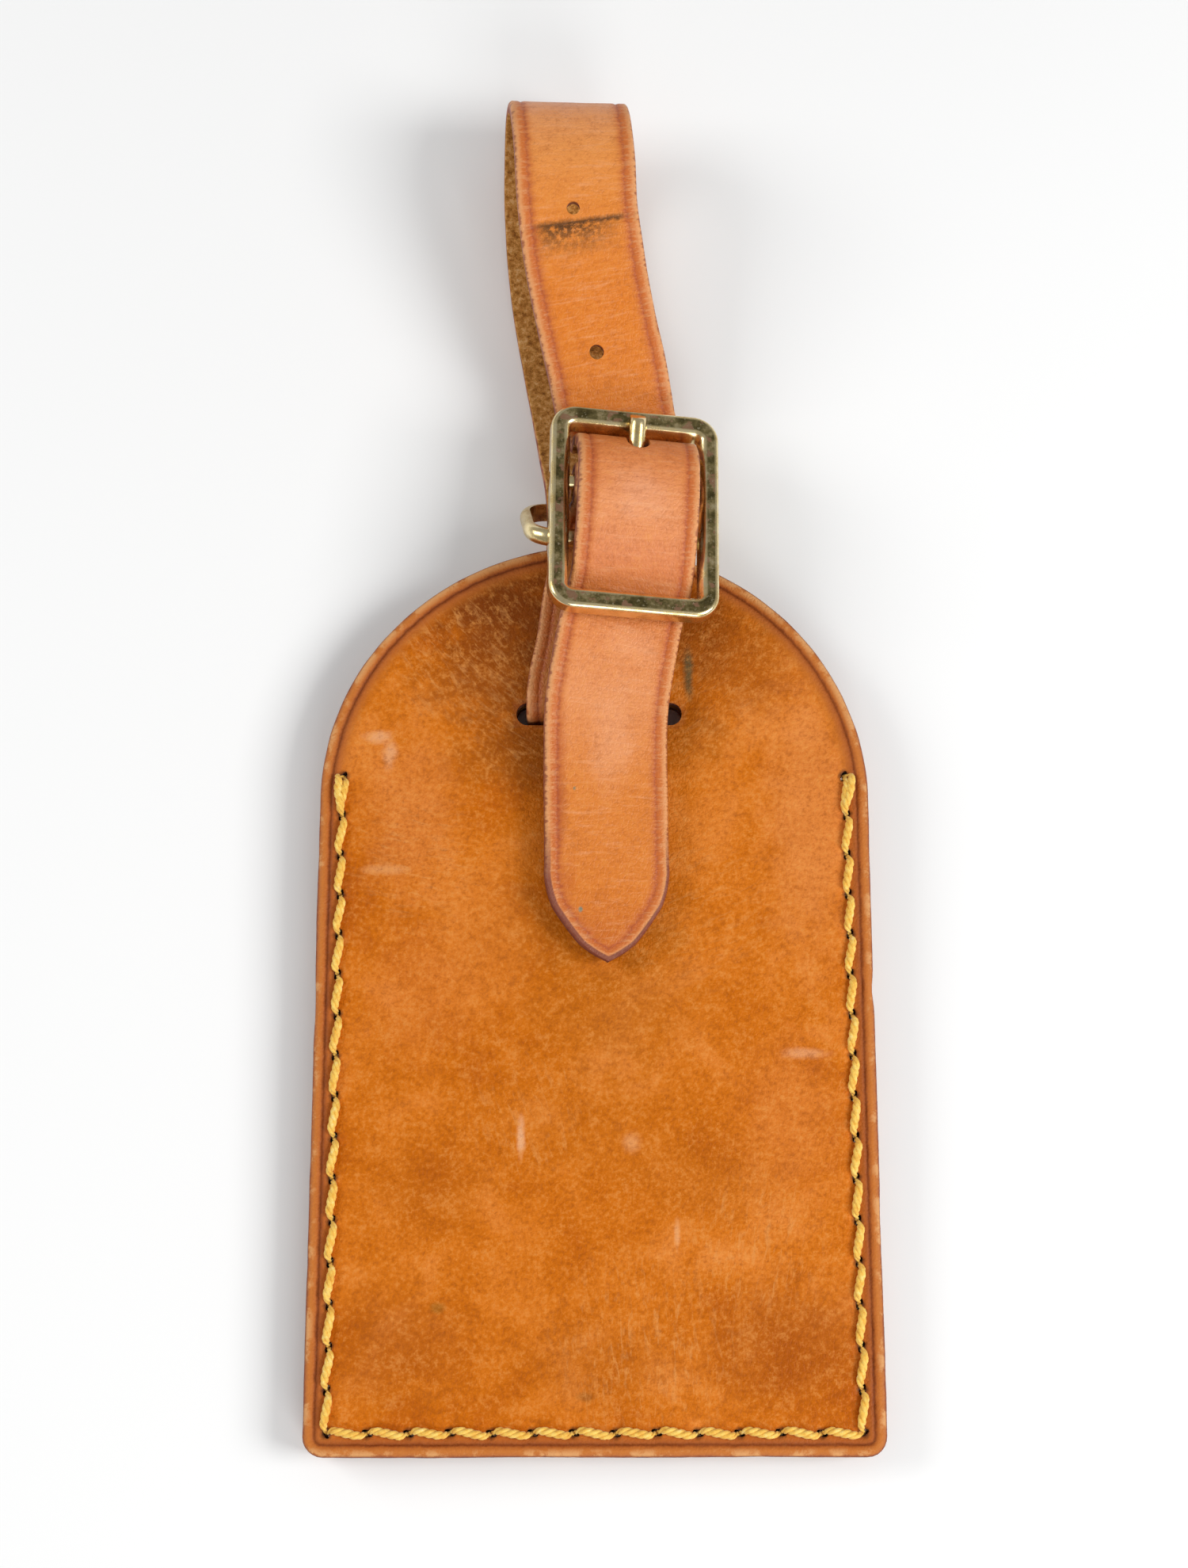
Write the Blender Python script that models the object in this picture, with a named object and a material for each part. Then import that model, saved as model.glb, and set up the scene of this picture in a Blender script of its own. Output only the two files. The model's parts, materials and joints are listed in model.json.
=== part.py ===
"""Leather luggage tag, lying on its back.

Two arched panels are sewn together round the sides and the bottom. An address card slides
in between them from the arch. A leather strap folds round the centre bar of a small brass
buckle, goes down in front of the panels, through their slot, up behind them, through a
brass keeper ring, round in a loop, and back through the buckle, where the prong holds it.

Sizes are in millimetres and become metres where an object is made. X is to the right, +Y
towards the strap's loop, +Z out of the front face. Z = 0 is the surface that the tag lies
on, and the origin is below the middle of the object's box.
"""
import math

import bmesh
import bpy
from mathutils import Matrix, Vector

MM = 0.001
GAP = 0.3                    # clearance kept between pieces that touch on the real tag

# Panels
PANEL_THICK = 2.0
PANEL_HALF_WIDTH = 35.0      # at the bottom
ARCH_HALF_WIDTH = 34.5       # where the arch starts
ARCH_FOOT = 80.0             # height of the arch's centre above the bottom edge
ARCH_RISE = 33.2
CORNER_RADIUS = 2.5
EDGE_BEVEL = 0.4
REAR_PANEL_Z = 2.1           # the rear face, lifted by the strap that passes below it
FRONT_PANEL_Z = REAR_PANEL_Z + PANEL_THICK + GAP
FRONT_FACE_Z = FRONT_PANEL_Z + PANEL_THICK

# Slot for the strap
SLOT_LOW = 89.6
SLOT_HIGH = 92.5
SLOT_LEFT = -9.8
SLOT_RIGHT = 11.1

# Pocket and address card
POCKET_RELIEF = 0.5          # how deep each panel's inner face is skived
POCKET_HALF_WIDTH = 28.0
POCKET_BOTTOM = 4.0
CARD_WIDTH = 55.0
CARD_HEIGHT = 85.0
CARD_THICK = 0.5
CARD_BOTTOM = 4.3

# Seam
SEAM_INSET = 2.9
SEAM_TOP = 83.0
SEAM_WANDER = 0.06           # the hand-made holes stray this far from a straight line
SIDE_STITCHES = 16
BOTTOM_STITCHES = 13
FACE_THREAD_WIDE = 1.0
BACK_THREAD_WIDE = 0.7
BACK_THREAD_GAP = 0.2
HOLE_LONG = 1.7
HOLE_WIDE = 1.2
STITCH_LEAN = 0.12           # how far each stitch's ends stand off the seam line
STITCH_TURN = 0.4            # from a hole's middle to where the thread turns down into it
STITCH_SHOULDER = 0.35       # from there to where the stitch lies flat
THREAD_MOUTH = 0.15          # height of the thread's line over the surface where it turns down
THREAD_STOP = 0.3            # each thread stops this far short of the panel's inner face
MOUTH_SQUEEZE = 0.5          # the thread's thickness in the hole's mouth and at its deepest,
DIP_SQUEEZE = 0.42           # as a share of its free thickness

# Strap
STRAP_WIDTH = 15.6
STRAP_THICK = 1.8
FOLD_THICK = 1.4             # skived thinner where it folds round the centre bar
STRAP_CHAMFER = 0.3
THIN_LENGTH = 16.0           # how much of the fixed end stays at the fold's thickness
THIN_BLEND = 6.0             # and over what length it then thickens
STRAP_STEP = 2.2             # between sections along the strap
SLOT_BEND = 1.7              # radius of the strap's two bends in the slot
SLOT_BEND_Y = 92.7
TIP_LENGTH = 11.0
TIP_WIDTH = 2.4
PUNCH_RADIUS = 0.95
PUNCH_DEPTH = 6.0
PRONG_HOLE_LEAN = 55.0       # how steeply the strap climbs where the prong comes through it
PRONG_HOLE_LONG = 5.0
SLIT_RADIUS = 2.9            # the slit at the fold, round the prong's eye
FIT = 0.4                    # clearance on each side of the prong in the slit and in its hole

# Buckle: the frame's own axes are u along the bars, v towards the loop, n out of the frame
FRAME_CENTRE = Vector((5.05, 115.5, 12.5))
FRAME_TURN = math.radians(-2.5)
FRAME_ROLL = math.radians(10.0)
FRAME_TILT = math.radians(-10.0)
FRAME_WIDTH = 21.6
FRAME_LENGTH = 28.4
SIDE_BAR = 2.6
END_BAR = 3.0
FRAME_THICK = 2.5
FRAME_CORNER = 3.2           # outer corner radius
BAR_V = 4.0
BAR_N = -0.8
BAR_RADIUS = 1.0
BAR_HOLE_RADIUS = 1.3
PRONG_RADIUS = 1.1
EYE_INNER = 1.3
EYE_OUTER = 2.6
EYE_WIDTH = 2.6

# Keeper ring
RING_INNER_WIDTH = 20.2
RING_INNER_HEIGHT = 10.4
RING_WALL = 1.2
RING_BAND = 2.3
RING_CENTRE = Vector((2.0, 115.5, 6.85))
RING_LEAN = math.radians(35.0)
RING_ROLL = math.radians(7.5)
RING_CORNER = 4.0

# The tag leans down from the strap's bend behind the slot to the seam at its bottom edge
REST_LINE = 92.0
LEAN = math.atan(1.2 / 90.0)

# The origin is below the middle of the box, which the strap's loop ends on one side
LOOP_END = 172.54
ORIGIN = Vector((0.0, LOOP_END / 2.0, 0.0))

FRAME_AXES = (Matrix.Rotation(FRAME_TURN, 3, "Z")
              @ Matrix.Rotation(FRAME_ROLL, 3, "Y")
              @ Matrix.Rotation(FRAME_TILT, 3, "X"))


# ---------------------------------------------------------------- helpers
def clear_scene():
    for obj in list(bpy.data.objects):
        bpy.data.objects.remove(obj, do_unlink=True)


def material(name, colour, roughness, metallic=0.0):
    made = bpy.data.materials.new(name)
    made.use_nodes = True
    shader = made.node_tree.nodes["Principled BSDF"]
    shader.inputs["Base Color"].default_value = (*colour, 1.0)
    shader.inputs["Roughness"].default_value = roughness
    shader.inputs["Metallic"].default_value = metallic
    made.diffuse_color = (*colour, 1.0)
    return made


def finish(name, bm, finish_material, parent, pivot=Vector(), cutter=False):
    """Make an object of a mesh in millimetres, with its origin at pivot."""
    bmesh.ops.recalc_face_normals(bm, faces=bm.faces)
    bmesh.ops.translate(bm, verts=bm.verts, vec=-pivot)
    bmesh.ops.scale(bm, verts=bm.verts, vec=(MM, MM, MM))
    mesh = bpy.data.meshes.new(name)
    bm.to_mesh(mesh)
    bm.free()
    mesh.shade_smooth()
    mesh.set_sharp_from_angle(angle=math.radians(35.0))
    obj = bpy.data.objects.new(name, mesh)
    bpy.context.scene.collection.objects.link(obj)
    obj.parent = parent
    obj.location = pivot * MM
    if cutter:
        obj.hide_render = True
        obj.display_type = "WIRE"
    else:
        mesh.materials.append(finish_material)
    return obj


def cut(target, cutter):
    modifier = target.modifiers.new("cut_" + cutter.name, "BOOLEAN")
    modifier.operation = "DIFFERENCE"
    modifier.solver = "EXACT"
    modifier.object = cutter


def sweep(bm, rings, closed=False):
    """Extrude a closed section through rings of points; cap its ends, or join them."""
    verts = [bm.verts.new(point) for point in rings[0]]
    pairs = zip(verts, verts[1:] + verts[:1])
    loop = [bm.edges.new(pair) for pair in pairs]
    first_loop = loop
    first_verts = verts
    for ring in rings[1:]:
        made = bmesh.ops.extrude_edge_only(bm, edges=loop)["geom"]
        new = {item for item in made if isinstance(item, bmesh.types.BMVert)}
        verts = [next(edge.other_vert(vert) for edge in vert.link_edges
                      if edge.other_vert(vert) in new) for vert in verts]
        for vert, point in zip(verts, ring):
            vert.co = point
        loop = [item for item in made if isinstance(item, bmesh.types.BMEdge)
                and item.verts[0] in new and item.verts[1] in new]
    if closed:
        bmesh.ops.bridge_loops(bm, edges=first_loop + loop)
    else:
        bm.faces.new(first_verts)
        bm.faces.new(verts)


def extrude_outline(points, low, high):
    """A flat plate from low to high with the outline of these (x, y) points."""
    bm = bmesh.new()
    face = bm.faces.new([bm.verts.new((x, y, low)) for x, y in points])
    made = bmesh.ops.extrude_face_region(bm, geom=[face])["geom"]
    top = [item for item in made if isinstance(item, bmesh.types.BMVert)]
    bmesh.ops.translate(bm, verts=top, vec=(0, 0, high - low))
    return bm


def smooth_route(stations, step):
    """Points every step or so along a Catmull-Rom curve through the stations."""
    ends = [stations[0] * 2 - stations[1]] + stations + [stations[-1] * 2 - stations[-2]]
    route = []
    for before, start, end, after in zip(ends, ends[1:], ends[2:], ends[3:]):
        length = (end.to_3d() - start.to_3d()).length
        count = max(1, round(length / step))
        for i in range(count):
            t = i / count
            route.append(0.5 * (2 * start + (end - before) * t
                                + (2 * before - 5 * start + 4 * end - after) * t * t
                                + (3 * start - before - 3 * end + after) * t ** 3))
    route.append(stations[-1])
    return route


def frame_point(u, v, n):
    return FRAME_CENTRE + FRAME_AXES @ Vector((u, v, n))


# ---------------------------------------------------------------- panels
def panel_half_width(y):
    if y <= ARCH_FOOT:
        return PANEL_HALF_WIDTH + (ARCH_HALF_WIDTH - PANEL_HALF_WIDTH) * y / ARCH_FOOT
    rise = min(1.0, (y - ARCH_FOOT) / ARCH_RISE)
    return ARCH_HALF_WIDTH * math.sqrt(1.0 - rise * rise)


def panel_outline():
    """Counter-clockwise from the bottom left corner."""
    points = []
    for side in (-1, 1):
        corner_x = side * (PANEL_HALF_WIDTH - CORNER_RADIUS)
        start = math.pi if side < 0 else 1.5 * math.pi
        for i in range(5):
            angle = start + i * math.pi / 8
            points.append((corner_x + CORNER_RADIUS * math.cos(angle),
                           CORNER_RADIUS + CORNER_RADIUS * math.sin(angle)))
    steps = 36
    for i in range(steps + 1):
        angle = i * math.pi / steps
        points.append((ARCH_HALF_WIDTH * math.cos(angle),
                       ARCH_FOOT + ARCH_RISE * math.sin(angle)))
    return points


def seam_stations():
    """Each stitch hole as (x, y, direction of the seam), from top left to top right."""
    low = SEAM_INSET
    side_pitch = (SEAM_TOP - low) / SIDE_STITCHES
    bottom_half = panel_half_width(low) - SEAM_INSET
    bottom_pitch = 2 * bottom_half / BOTTOM_STITCHES
    stations = []
    for i in range(SIDE_STITCHES):
        y = SEAM_TOP - i * side_pitch
        stations.append((SEAM_INSET - panel_half_width(y), y, math.radians(-90)))
    stations.append((-bottom_half, low, math.radians(-45)))
    for i in range(1, BOTTOM_STITCHES):
        stations.append((-bottom_half + i * bottom_pitch, low, 0.0))
    stations.append((bottom_half, low, math.radians(45)))
    for i in range(1, SIDE_STITCHES + 1):
        y = low + i * side_pitch
        stations.append((panel_half_width(y) - SEAM_INSET, y, math.radians(90)))
    strayed = []
    for index, (x, y, heading) in enumerate(stations):
        stray = SEAM_WANDER * math.sin(2.4 * index)
        strayed.append((x - stray * math.sin(heading), y + stray * math.cos(heading), heading))
    return strayed


def stitch_hole_cutter(parent):
    """One long thin prism for each stitch hole, through both panels."""
    bm = bmesh.new()
    for x, y, heading in seam_stations():
        turn = Matrix.Translation((x, y, REAR_PANEL_Z + PANEL_THICK)) @ Matrix.Rotation(heading, 4, "Z")
        stretch = Matrix.Diagonal((HOLE_LONG / 2, HOLE_WIDE / 2, 1.0, 1.0))
        bmesh.ops.create_cone(bm, cap_ends=True, segments=8, radius1=1.0, radius2=1.0,
                              depth=8.0, matrix=turn @ stretch)
    return finish("stitch_hole_cutter", bm, None, parent, cutter=True)


def slot_cutter(parent):
    """The slot with its half-round ends, through both panels."""
    radius = (SLOT_HIGH - SLOT_LOW) / 2
    middle = (SLOT_HIGH + SLOT_LOW) / 2
    points = []
    for x, start in ((SLOT_RIGHT - radius, -90), (SLOT_LEFT + radius, 90)):
        for i in range(7):
            angle = math.radians(start + 30 * i)
            points.append((x + radius * math.cos(angle), middle + radius * math.sin(angle)))
    return finish("slot_cutter", extrude_outline(points, 0.0, 9.0), None, parent, cutter=True)


def pocket_cutter(parent):
    """The skived channel in both inner faces, open through the arch."""
    width = POCKET_HALF_WIDTH
    points = ((-width, POCKET_BOTTOM), (width, POCKET_BOTTOM), (width, 130.0), (-width, 130.0))
    low = FRONT_PANEL_Z - GAP - POCKET_RELIEF
    bm = extrude_outline(points, low, FRONT_PANEL_Z + POCKET_RELIEF)
    return finish("pocket_cutter", bm, None, parent, cutter=True)


def panel(name, low, leather, parent, cutters):
    bm = extrude_outline(panel_outline(), low, low + PANEL_THICK)
    rims = [edge for edge in bm.edges if abs(edge.verts[0].co.z - edge.verts[1].co.z) < 0.01]
    bmesh.ops.bevel(bm, geom=rims, offset=EDGE_BEVEL, segments=1, profile=0.5, affect="EDGES")
    obj = finish(name, bm, leather, parent)
    for cutter in cutters:
        cut(obj, cutter)
    return obj


def address_card(card_stock, parent):
    half = CARD_WIDTH / 2
    top = CARD_BOTTOM + CARD_HEIGHT
    low = REAR_PANEL_Z + PANEL_THICK + GAP / 2 - CARD_THICK / 2
    points = ((-half, CARD_BOTTOM), (half, CARD_BOTTOM), (half, top), (-half, top))
    return finish("address_card", extrude_outline(points, low, low + CARD_THICK), card_stock, parent)


# ---------------------------------------------------------------- threads
def thread(name, side, wide, gap, fibre, parent):
    """One continuous thread: a stitch between each two holes, dipping into each hole.

    side is 1 on the front and -1 on the back.
    """
    surface = FRONT_FACE_Z if side > 0 else REAR_PANEL_Z
    lie = surface + side * (gap + wide / 2)
    mouth = surface + side * THREAD_MOUTH
    dip = surface - side * (PANEL_THICK - THREAD_STOP)
    holes = seam_stations()
    points = []
    for index, (x, y, heading) in enumerate(holes):
        along = Vector((math.cos(heading), math.sin(heading), 0.0))
        across = Vector((-along.y, along.x, 0.0)) * STITCH_LEAN
        hole = Vector((x, y, 0.0))
        arriving = hole - along * STITCH_TURN - across
        leaving = hole + along * STITCH_TURN + across
        if index > 0:
            points.append((arriving - along * STITCH_SHOULDER, lie, 1.0))
            points.append((arriving, mouth, MOUTH_SQUEEZE))
        points.append((hole, dip, DIP_SQUEEZE))
        if index < len(holes) - 1:
            points.append((leaving, mouth, MOUTH_SQUEEZE))
            points.append((leaving + along * STITCH_SHOULDER, lie, 1.0))
    curve = bpy.data.curves.new(name, "CURVE")
    curve.dimensions = "3D"
    curve.bevel_depth = wide / 2 * MM
    curve.bevel_resolution = 1
    curve.use_fill_caps = True
    spline = curve.splines.new("POLY")
    spline.points.add(len(points) - 1)
    for point, (place, z, radius) in zip(spline.points, points):
        point.co = (place.x * MM, place.y * MM, z * MM, 1.0)
        point.radius = radius
    curve.materials.append(fibre)
    obj = bpy.data.objects.new(name, curve)
    bpy.context.scene.collection.objects.link(obj)
    obj.parent = parent
    return obj


# ---------------------------------------------------------------- strap
def strap_stations():
    """The middle of the strap as (x, y, z, roll in degrees), from its fixed end to its tip."""
    fold = FOLD_THICK / 2 + BAR_RADIUS + GAP
    stations = []

    def add(x, y, z, roll):
        stations.append(Vector((x, y, z, roll)))

    def add_local(u, v, n, roll):
        stations.append(Vector((*frame_point(u, v, n), roll)))

    # the short end, behind the layer that it folds back from
    add_local(-0.9, 0.2, -5.1, 9.0)
    add_local(-0.2, 2.3, -3.3, 10.0)
    # round the centre bar
    for angle in (-60, -30, 0, 35, 80, 125):
        turn = math.radians(angle)
        add_local(0.0, BAR_V + fold * math.cos(turn), BAR_N + fold * math.sin(turn), 10.0)
    # down in front of the panels
    add_local(-0.2, 0.2, -1.6, 9.0)
    add(3.0, 112.8, 9.0, 6.0)
    add(2.1, 109.2, 8.05, 2.0)
    add(1.2, 105.0, 7.7, 0.5)
    add(0.3, 99.0, 7.6, 0.0)
    add(-0.6, 94.6, 7.6, 0.0)
    # through the slot
    for centre_z, angles in ((5.9, (95, 135, 180)), (2.66, (180, 225, 265))):
        for angle in angles:
            turn = math.radians(angle)
            add(-0.8, SLOT_BEND_Y + SLOT_BEND * math.cos(turn), centre_z + SLOT_BEND * math.sin(turn), 0.0)
    # up behind the panels, through the keeper ring and along the surface
    add(-0.6, 94.6, 0.95, 0.0)
    add(0.3, 100.0, 0.93, 0.0)
    add(1.2, 107.5, 0.93, 0.0)
    add(1.5, 112.4, 0.95, 0.0)
    add(1.6, 115.0, 1.45, 1.0)
    add(1.7, 117.6, 4.1, 5.0)
    add(1.4, 121.2, 4.8, 6.0)
    add(0.6, 126.5, 3.0, 4.0)
    add(-0.6, 133.8, 1.3, 1.0)
    add(-1.8, 140.7, 0.95, 0.0)
    add(-2.95, 147.5, 0.9, 0.0)
    add(-3.7, 154.0, 0.9, 0.0)
    add(-4.1, 161.0, 1.2, 0.0)
    # round the top of the loop
    add(-4.1, 167.0, 2.9, 0.0)
    add(-3.9, 170.9, 6.4, 1.0)
    add(-3.4, 171.6, 10.4, 2.0)
    add(-2.9, 168.6, 13.6, 3.0)
    add(-2.4, 163.0, 14.9, 3.0)
    add(-2.0, 156.0, 14.0, 3.0)
    add(-1.0, 149.0, 12.0, 4.0)
    add(0.4, 142.0, 10.2, 6.0)
    add(1.8, 136.0, 8.6, 9.0)
    # under the top bar, over the centre bar, under the bottom bar
    add_local(-1.8, 16.0, -3.4, 10.0)
    add_local(-0.7, 12.75, -3.1, 10.0)
    add_local(-0.2, 11.5, -2.65, 10.0)
    add_local(0.0, 10.45, -1.45, 10.0)
    add_local(0.0, 9.6, 0.3, 10.0)
    add_local(0.0, 8.4, 2.1, 10.0)
    add_local(0.0, 6.4, 3.25, 10.0)
    add_local(0.0, 4.0, 3.55, 10.0)
    add_local(0.0, 0.0, 3.1, 10.0)
    add_local(0.0, -4.5, 1.6, 10.0)
    add_local(0.0, -8.8, -1.2, 10.0)
    add_local(-0.7, -12.6, -3.3, 10.0)
    # the free end, over the panel
    add(2.5, 97.0, 10.9, 9.0)
    add(1.6, 91.0, 10.2, 8.0)
    add(1.45, 85.0, 9.4, 7.0)
    add(1.5, 77.0, 8.9, 6.0)
    add(1.6, 68.0, 8.6, 5.0)
    add(1.7, 59.2, 8.4, 5.0)
    return stations


def strap_half_width(left):
    """Half the strap's width at this distance from its tip, where two arcs meet bluntly."""
    half = STRAP_WIDTH / 2
    if left >= TIP_LENGTH:
        return half
    arc = (TIP_LENGTH ** 2 + half ** 2) / (2 * half)
    pointed = half - arc + math.sqrt(arc ** 2 - (TIP_LENGTH - left) ** 2)
    return max(TIP_WIDTH / 2, pointed)


def strap_rings():
    """Sections of eight points along the strap's route."""
    route = smooth_route(strap_stations(), STRAP_STEP)
    places = [point.to_3d() for point in route]
    travelled = [0.0]
    for a, b in zip(places, places[1:]):
        travelled.append(travelled[-1] + (b - a).length)
    rings = []
    for index, point in enumerate(route):
        before = places[max(0, index - 1)]
        after = places[min(len(places) - 1, index + 1)]
        tangent = (after - before).normalized()
        roll = math.radians(point.w)
        turn = Matrix.Rotation(FRAME_TURN * roll / FRAME_ROLL, 3, "Z")
        across = turn @ Vector((math.cos(roll), 0.0, -math.sin(roll)))
        across = (across - tangent * across.dot(tangent)).normalized()
        normal = tangent.cross(across)
        # the fold is skived thin
        blend = min(1.0, max(0.0, (travelled[index] - THIN_LENGTH) / THIN_BLEND))
        thick = FOLD_THICK + (STRAP_THICK - FOLD_THICK) * blend
        left = travelled[-1] - travelled[index]
        half_w = strap_half_width(left)
        half_t = thick / 2
        c = STRAP_CHAMFER
        corners = ((half_w - c, half_t), (c - half_w, half_t), (-half_w, half_t - c),
                   (-half_w, c - half_t), (c - half_w, -half_t), (half_w - c, -half_t),
                   (half_w, c - half_t), (half_w, half_t - c))
        rings.append([places[index] + across * w + normal * t for w, t in corners])
    return rings


def drilled(direction, place, radius, depth, bm):
    """Add a round cutter to bm, its axis along direction."""
    turn = direction.normalized().to_track_quat("Z", "Y").to_matrix().to_4x4()
    bmesh.ops.create_cone(bm, cap_ends=True, segments=16, radius1=radius, radius2=radius, depth=depth,
                          matrix=Matrix.Translation(place) @ turn)


def strap(leather, parent):
    bm = bmesh.new()
    sweep(bm, strap_rings())
    obj = finish("strap", bm, leather, parent)

    # the slit at the fold, where the prong's eye sits on the centre bar
    slit = bmesh.new()
    drilled(FRAME_AXES.col[0], frame_point(0, BAR_V, BAR_N), SLIT_RADIUS, EYE_WIDTH + 2 * FIT, slit)
    cut(obj, finish("eye_slit_cutter", slit, None, parent, cutter=True))

    # the hole that the prong comes up through, long enough for the prong to lift
    hole = bmesh.new()
    width = 2 * (PRONG_RADIUS + FIT)
    axes = FRAME_AXES @ Matrix.Rotation(math.radians(-PRONG_HOLE_LEAN), 3, "X")
    turn = Matrix.Translation(frame_point(0.0, 8.75, 1.7)) @ axes.to_4x4()
    size = Matrix.Diagonal((width, PRONG_HOLE_LONG, PRONG_HOLE_LONG, 1.0))
    bmesh.ops.create_cube(hole, size=1.0, matrix=turn @ size)
    upright = [edge for edge in hole.edges
               if abs((edge.verts[0].co - edge.verts[1].co).normalized().dot(axes.col[2])) > 0.9]
    bmesh.ops.bevel(hole, geom=upright, offset=width * 0.45, segments=3, profile=0.5, affect="EDGES")
    cut(obj, finish("prong_hole_cutter", hole, None, parent, cutter=True))

    # the spare holes on the front leg of the loop
    spare = bmesh.new()
    drilled(Vector((0.03, -0.22, 1.0)), Vector((-2.2, 157.6, 14.2)), PUNCH_RADIUS, PUNCH_DEPTH, spare)
    drilled(Vector((0.08, -0.26, 1.0)), Vector((1.2, 138.4, 9.3)), PUNCH_RADIUS, PUNCH_DEPTH, spare)
    cut(obj, finish("punch_cutter", spare, None, parent, cutter=True))
    return obj


# ---------------------------------------------------------------- buckle
def rounded_loop(width, height, corner, steps):
    """Points round a rounded rectangle as (x, y, outward direction)."""
    points = []
    for quarter in range(4):
        sx = 1 if quarter in (0, 3) else -1
        sy = 1 if quarter in (0, 1) else -1
        for i in range(steps + 1):
            angle = quarter * math.pi / 2 + i * math.pi / (2 * steps)
            out = Vector((math.cos(angle), math.sin(angle)))
            points.append((sx * (width / 2 - corner) + corner * out.x,
                           sy * (height / 2 - corner) + corner * out.y, out))
    return points


def buckle_frame(brass, parent, pivot):
    """A rounded rectangle of domed bar, its sides drilled for the centre bar."""
    rings = []
    for x, y, out in rounded_loop(FRAME_WIDTH, FRAME_LENGTH, FRAME_CORNER, 5):
        bar = SIDE_BAR + (END_BAR - SIDE_BAR) * abs(out.y)
        ring = []
        for i in range(10):
            angle = 2 * math.pi * i / 10
            across = math.copysign(abs(math.cos(angle)) ** 0.8, math.cos(angle)) * bar / 2
            up = math.copysign(abs(math.sin(angle)) ** 0.8, math.sin(angle)) * FRAME_THICK / 2
            inward = across - bar / 2
            ring.append(frame_point(x + out.x * inward, y + out.y * inward, up))
        rings.append(ring)
    bm = bmesh.new()
    sweep(bm, rings, closed=True)
    obj = finish("buckle_frame", bm, brass, parent, pivot)
    hole = bmesh.new()
    drilled(FRAME_AXES.col[0], pivot, BAR_HOLE_RADIUS, FRAME_WIDTH + 4, hole)
    cut(obj, finish("bar_hole_cutter", hole, None, parent, cutter=True))
    return obj


def centre_bar(brass, parent, pivot):
    bm = bmesh.new()
    drilled(FRAME_AXES.col[0], pivot, BAR_RADIUS, FRAME_WIDTH - 0.4, bm)
    return finish("centre_bar", bm, brass, parent, pivot)


def prong(brass, parent, pivot):
    """A round wire with a flattened eye on the centre bar and an end cut at a slant."""
    bm = bmesh.new()
    middle = (EYE_INNER + EYE_OUTER) / 2
    wall = EYE_OUTER - EYE_INNER
    rings = []
    # round the eye, from under its own arm and back up to it
    for i in range(13):
        angle = math.radians(50 - i * 27)
        centre = (BAR_V + middle * math.cos(angle), BAR_N + middle * math.sin(angle))
        rings.append(wire_ring(centre, angle, EYE_WIDTH / 2, wall / 2))
    # along the arm, over the top bar
    arm = ((4.0, 1.17, 90, EYE_WIDTH / 2, 0.65), (6.4, 1.2, 92, 1.2, 0.7), (8.2, 1.5, 103, 1.1, 0.9),
           (10.2, 2.1, 105, 1.1, 1.05), (11.4, 2.5, 102, 1.1, 1.1), (12.6, 2.5, 128, 1.05, 1.3))
    for v, n, degrees, half_u, half_n in arm:
        rings.append(wire_ring((v, n), math.radians(degrees), half_u, half_n))
    sweep(bm, rings)
    return finish("prong", bm, brass, parent, pivot)


def wire_ring(centre, angle, half_u, half_n):
    """A section of the prong's wire: half_n is measured along angle in the v-n plane."""
    ring = []
    for i in range(8):
        turn = 2 * math.pi * i / 8 + math.pi / 8
        out = half_n * math.sin(turn)
        ring.append(frame_point(half_u * math.cos(turn), centre[0] + out * math.cos(angle),
                                centre[1] + out * math.sin(angle)))
    return ring


# ---------------------------------------------------------------- keeper ring
def keeper_ring(brass, parent):
    """A closed band round the strap's two layers, leaning back with the front layer."""
    axes = Matrix.Rotation(RING_ROLL, 3, "Y") @ Matrix.Rotation(RING_LEAN, 3, "X")
    rings = []
    outer_width = RING_INNER_WIDTH + 2 * RING_WALL
    outer_height = RING_INNER_HEIGHT + 2 * RING_WALL
    half_band = RING_BAND / 2
    crown = RING_WALL * 0.55
    for x, z, out in rounded_loop(outer_width, outer_height, RING_CORNER, 4):
        ring = []
        for depth, y in ((0.0, 0.0), (crown * 0.35, half_band * 0.7), (RING_WALL, half_band),
                         (RING_WALL, -half_band), (crown * 0.35, -half_band * 0.7)):
            local = Vector((x - out.x * depth, y, z - out.y * depth))
            ring.append(RING_CENTRE + axes @ local)
        rings.append(ring)
    bm = bmesh.new()
    sweep(bm, rings, closed=True)
    return finish("keeper_ring", bm, brass, parent)


# ---------------------------------------------------------------- assembly
def main():
    clear_scene()
    root = bpy.data.objects.new("luggage_tag", None)
    bpy.context.scene.collection.objects.link(root)
    rest = Vector((0.0, REST_LINE, 0.0))
    root.rotation_euler.x = LEAN
    root.location = (rest - Matrix.Rotation(LEAN, 3, "X") @ rest - ORIGIN) * MM

    leather = material("tag_leather", (0.60, 0.19, 0.025), 0.55)
    strap_leather = material("strap_leather", (0.62, 0.22, 0.05), 0.5)
    fibre = material("waxed_thread", (0.74, 0.42, 0.06), 0.6)
    brass = material("brass", (0.69, 0.50, 0.22), 0.3, 1.0)
    card_stock = material("card_stock", (0.86, 0.84, 0.78), 0.8)

    cutters = [stitch_hole_cutter(root), slot_cutter(root), pocket_cutter(root)]
    panel("rear_panel", REAR_PANEL_Z, leather, root, cutters)
    panel("front_panel", FRONT_PANEL_Z, leather, root, cutters)
    address_card(card_stock, root)
    thread("face_thread", 1, FACE_THREAD_WIDE, GAP, fibre, root)
    thread("back_thread", -1, BACK_THREAD_WIDE, BACK_THREAD_GAP, fibre, root)
    strap(strap_leather, root)

    pivot = frame_point(0.0, BAR_V, BAR_N)
    buckle_frame(brass, root, pivot)
    centre_bar(brass, root, pivot)
    prong(brass, root, pivot)
    keeper_ring(brass, root)


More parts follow.
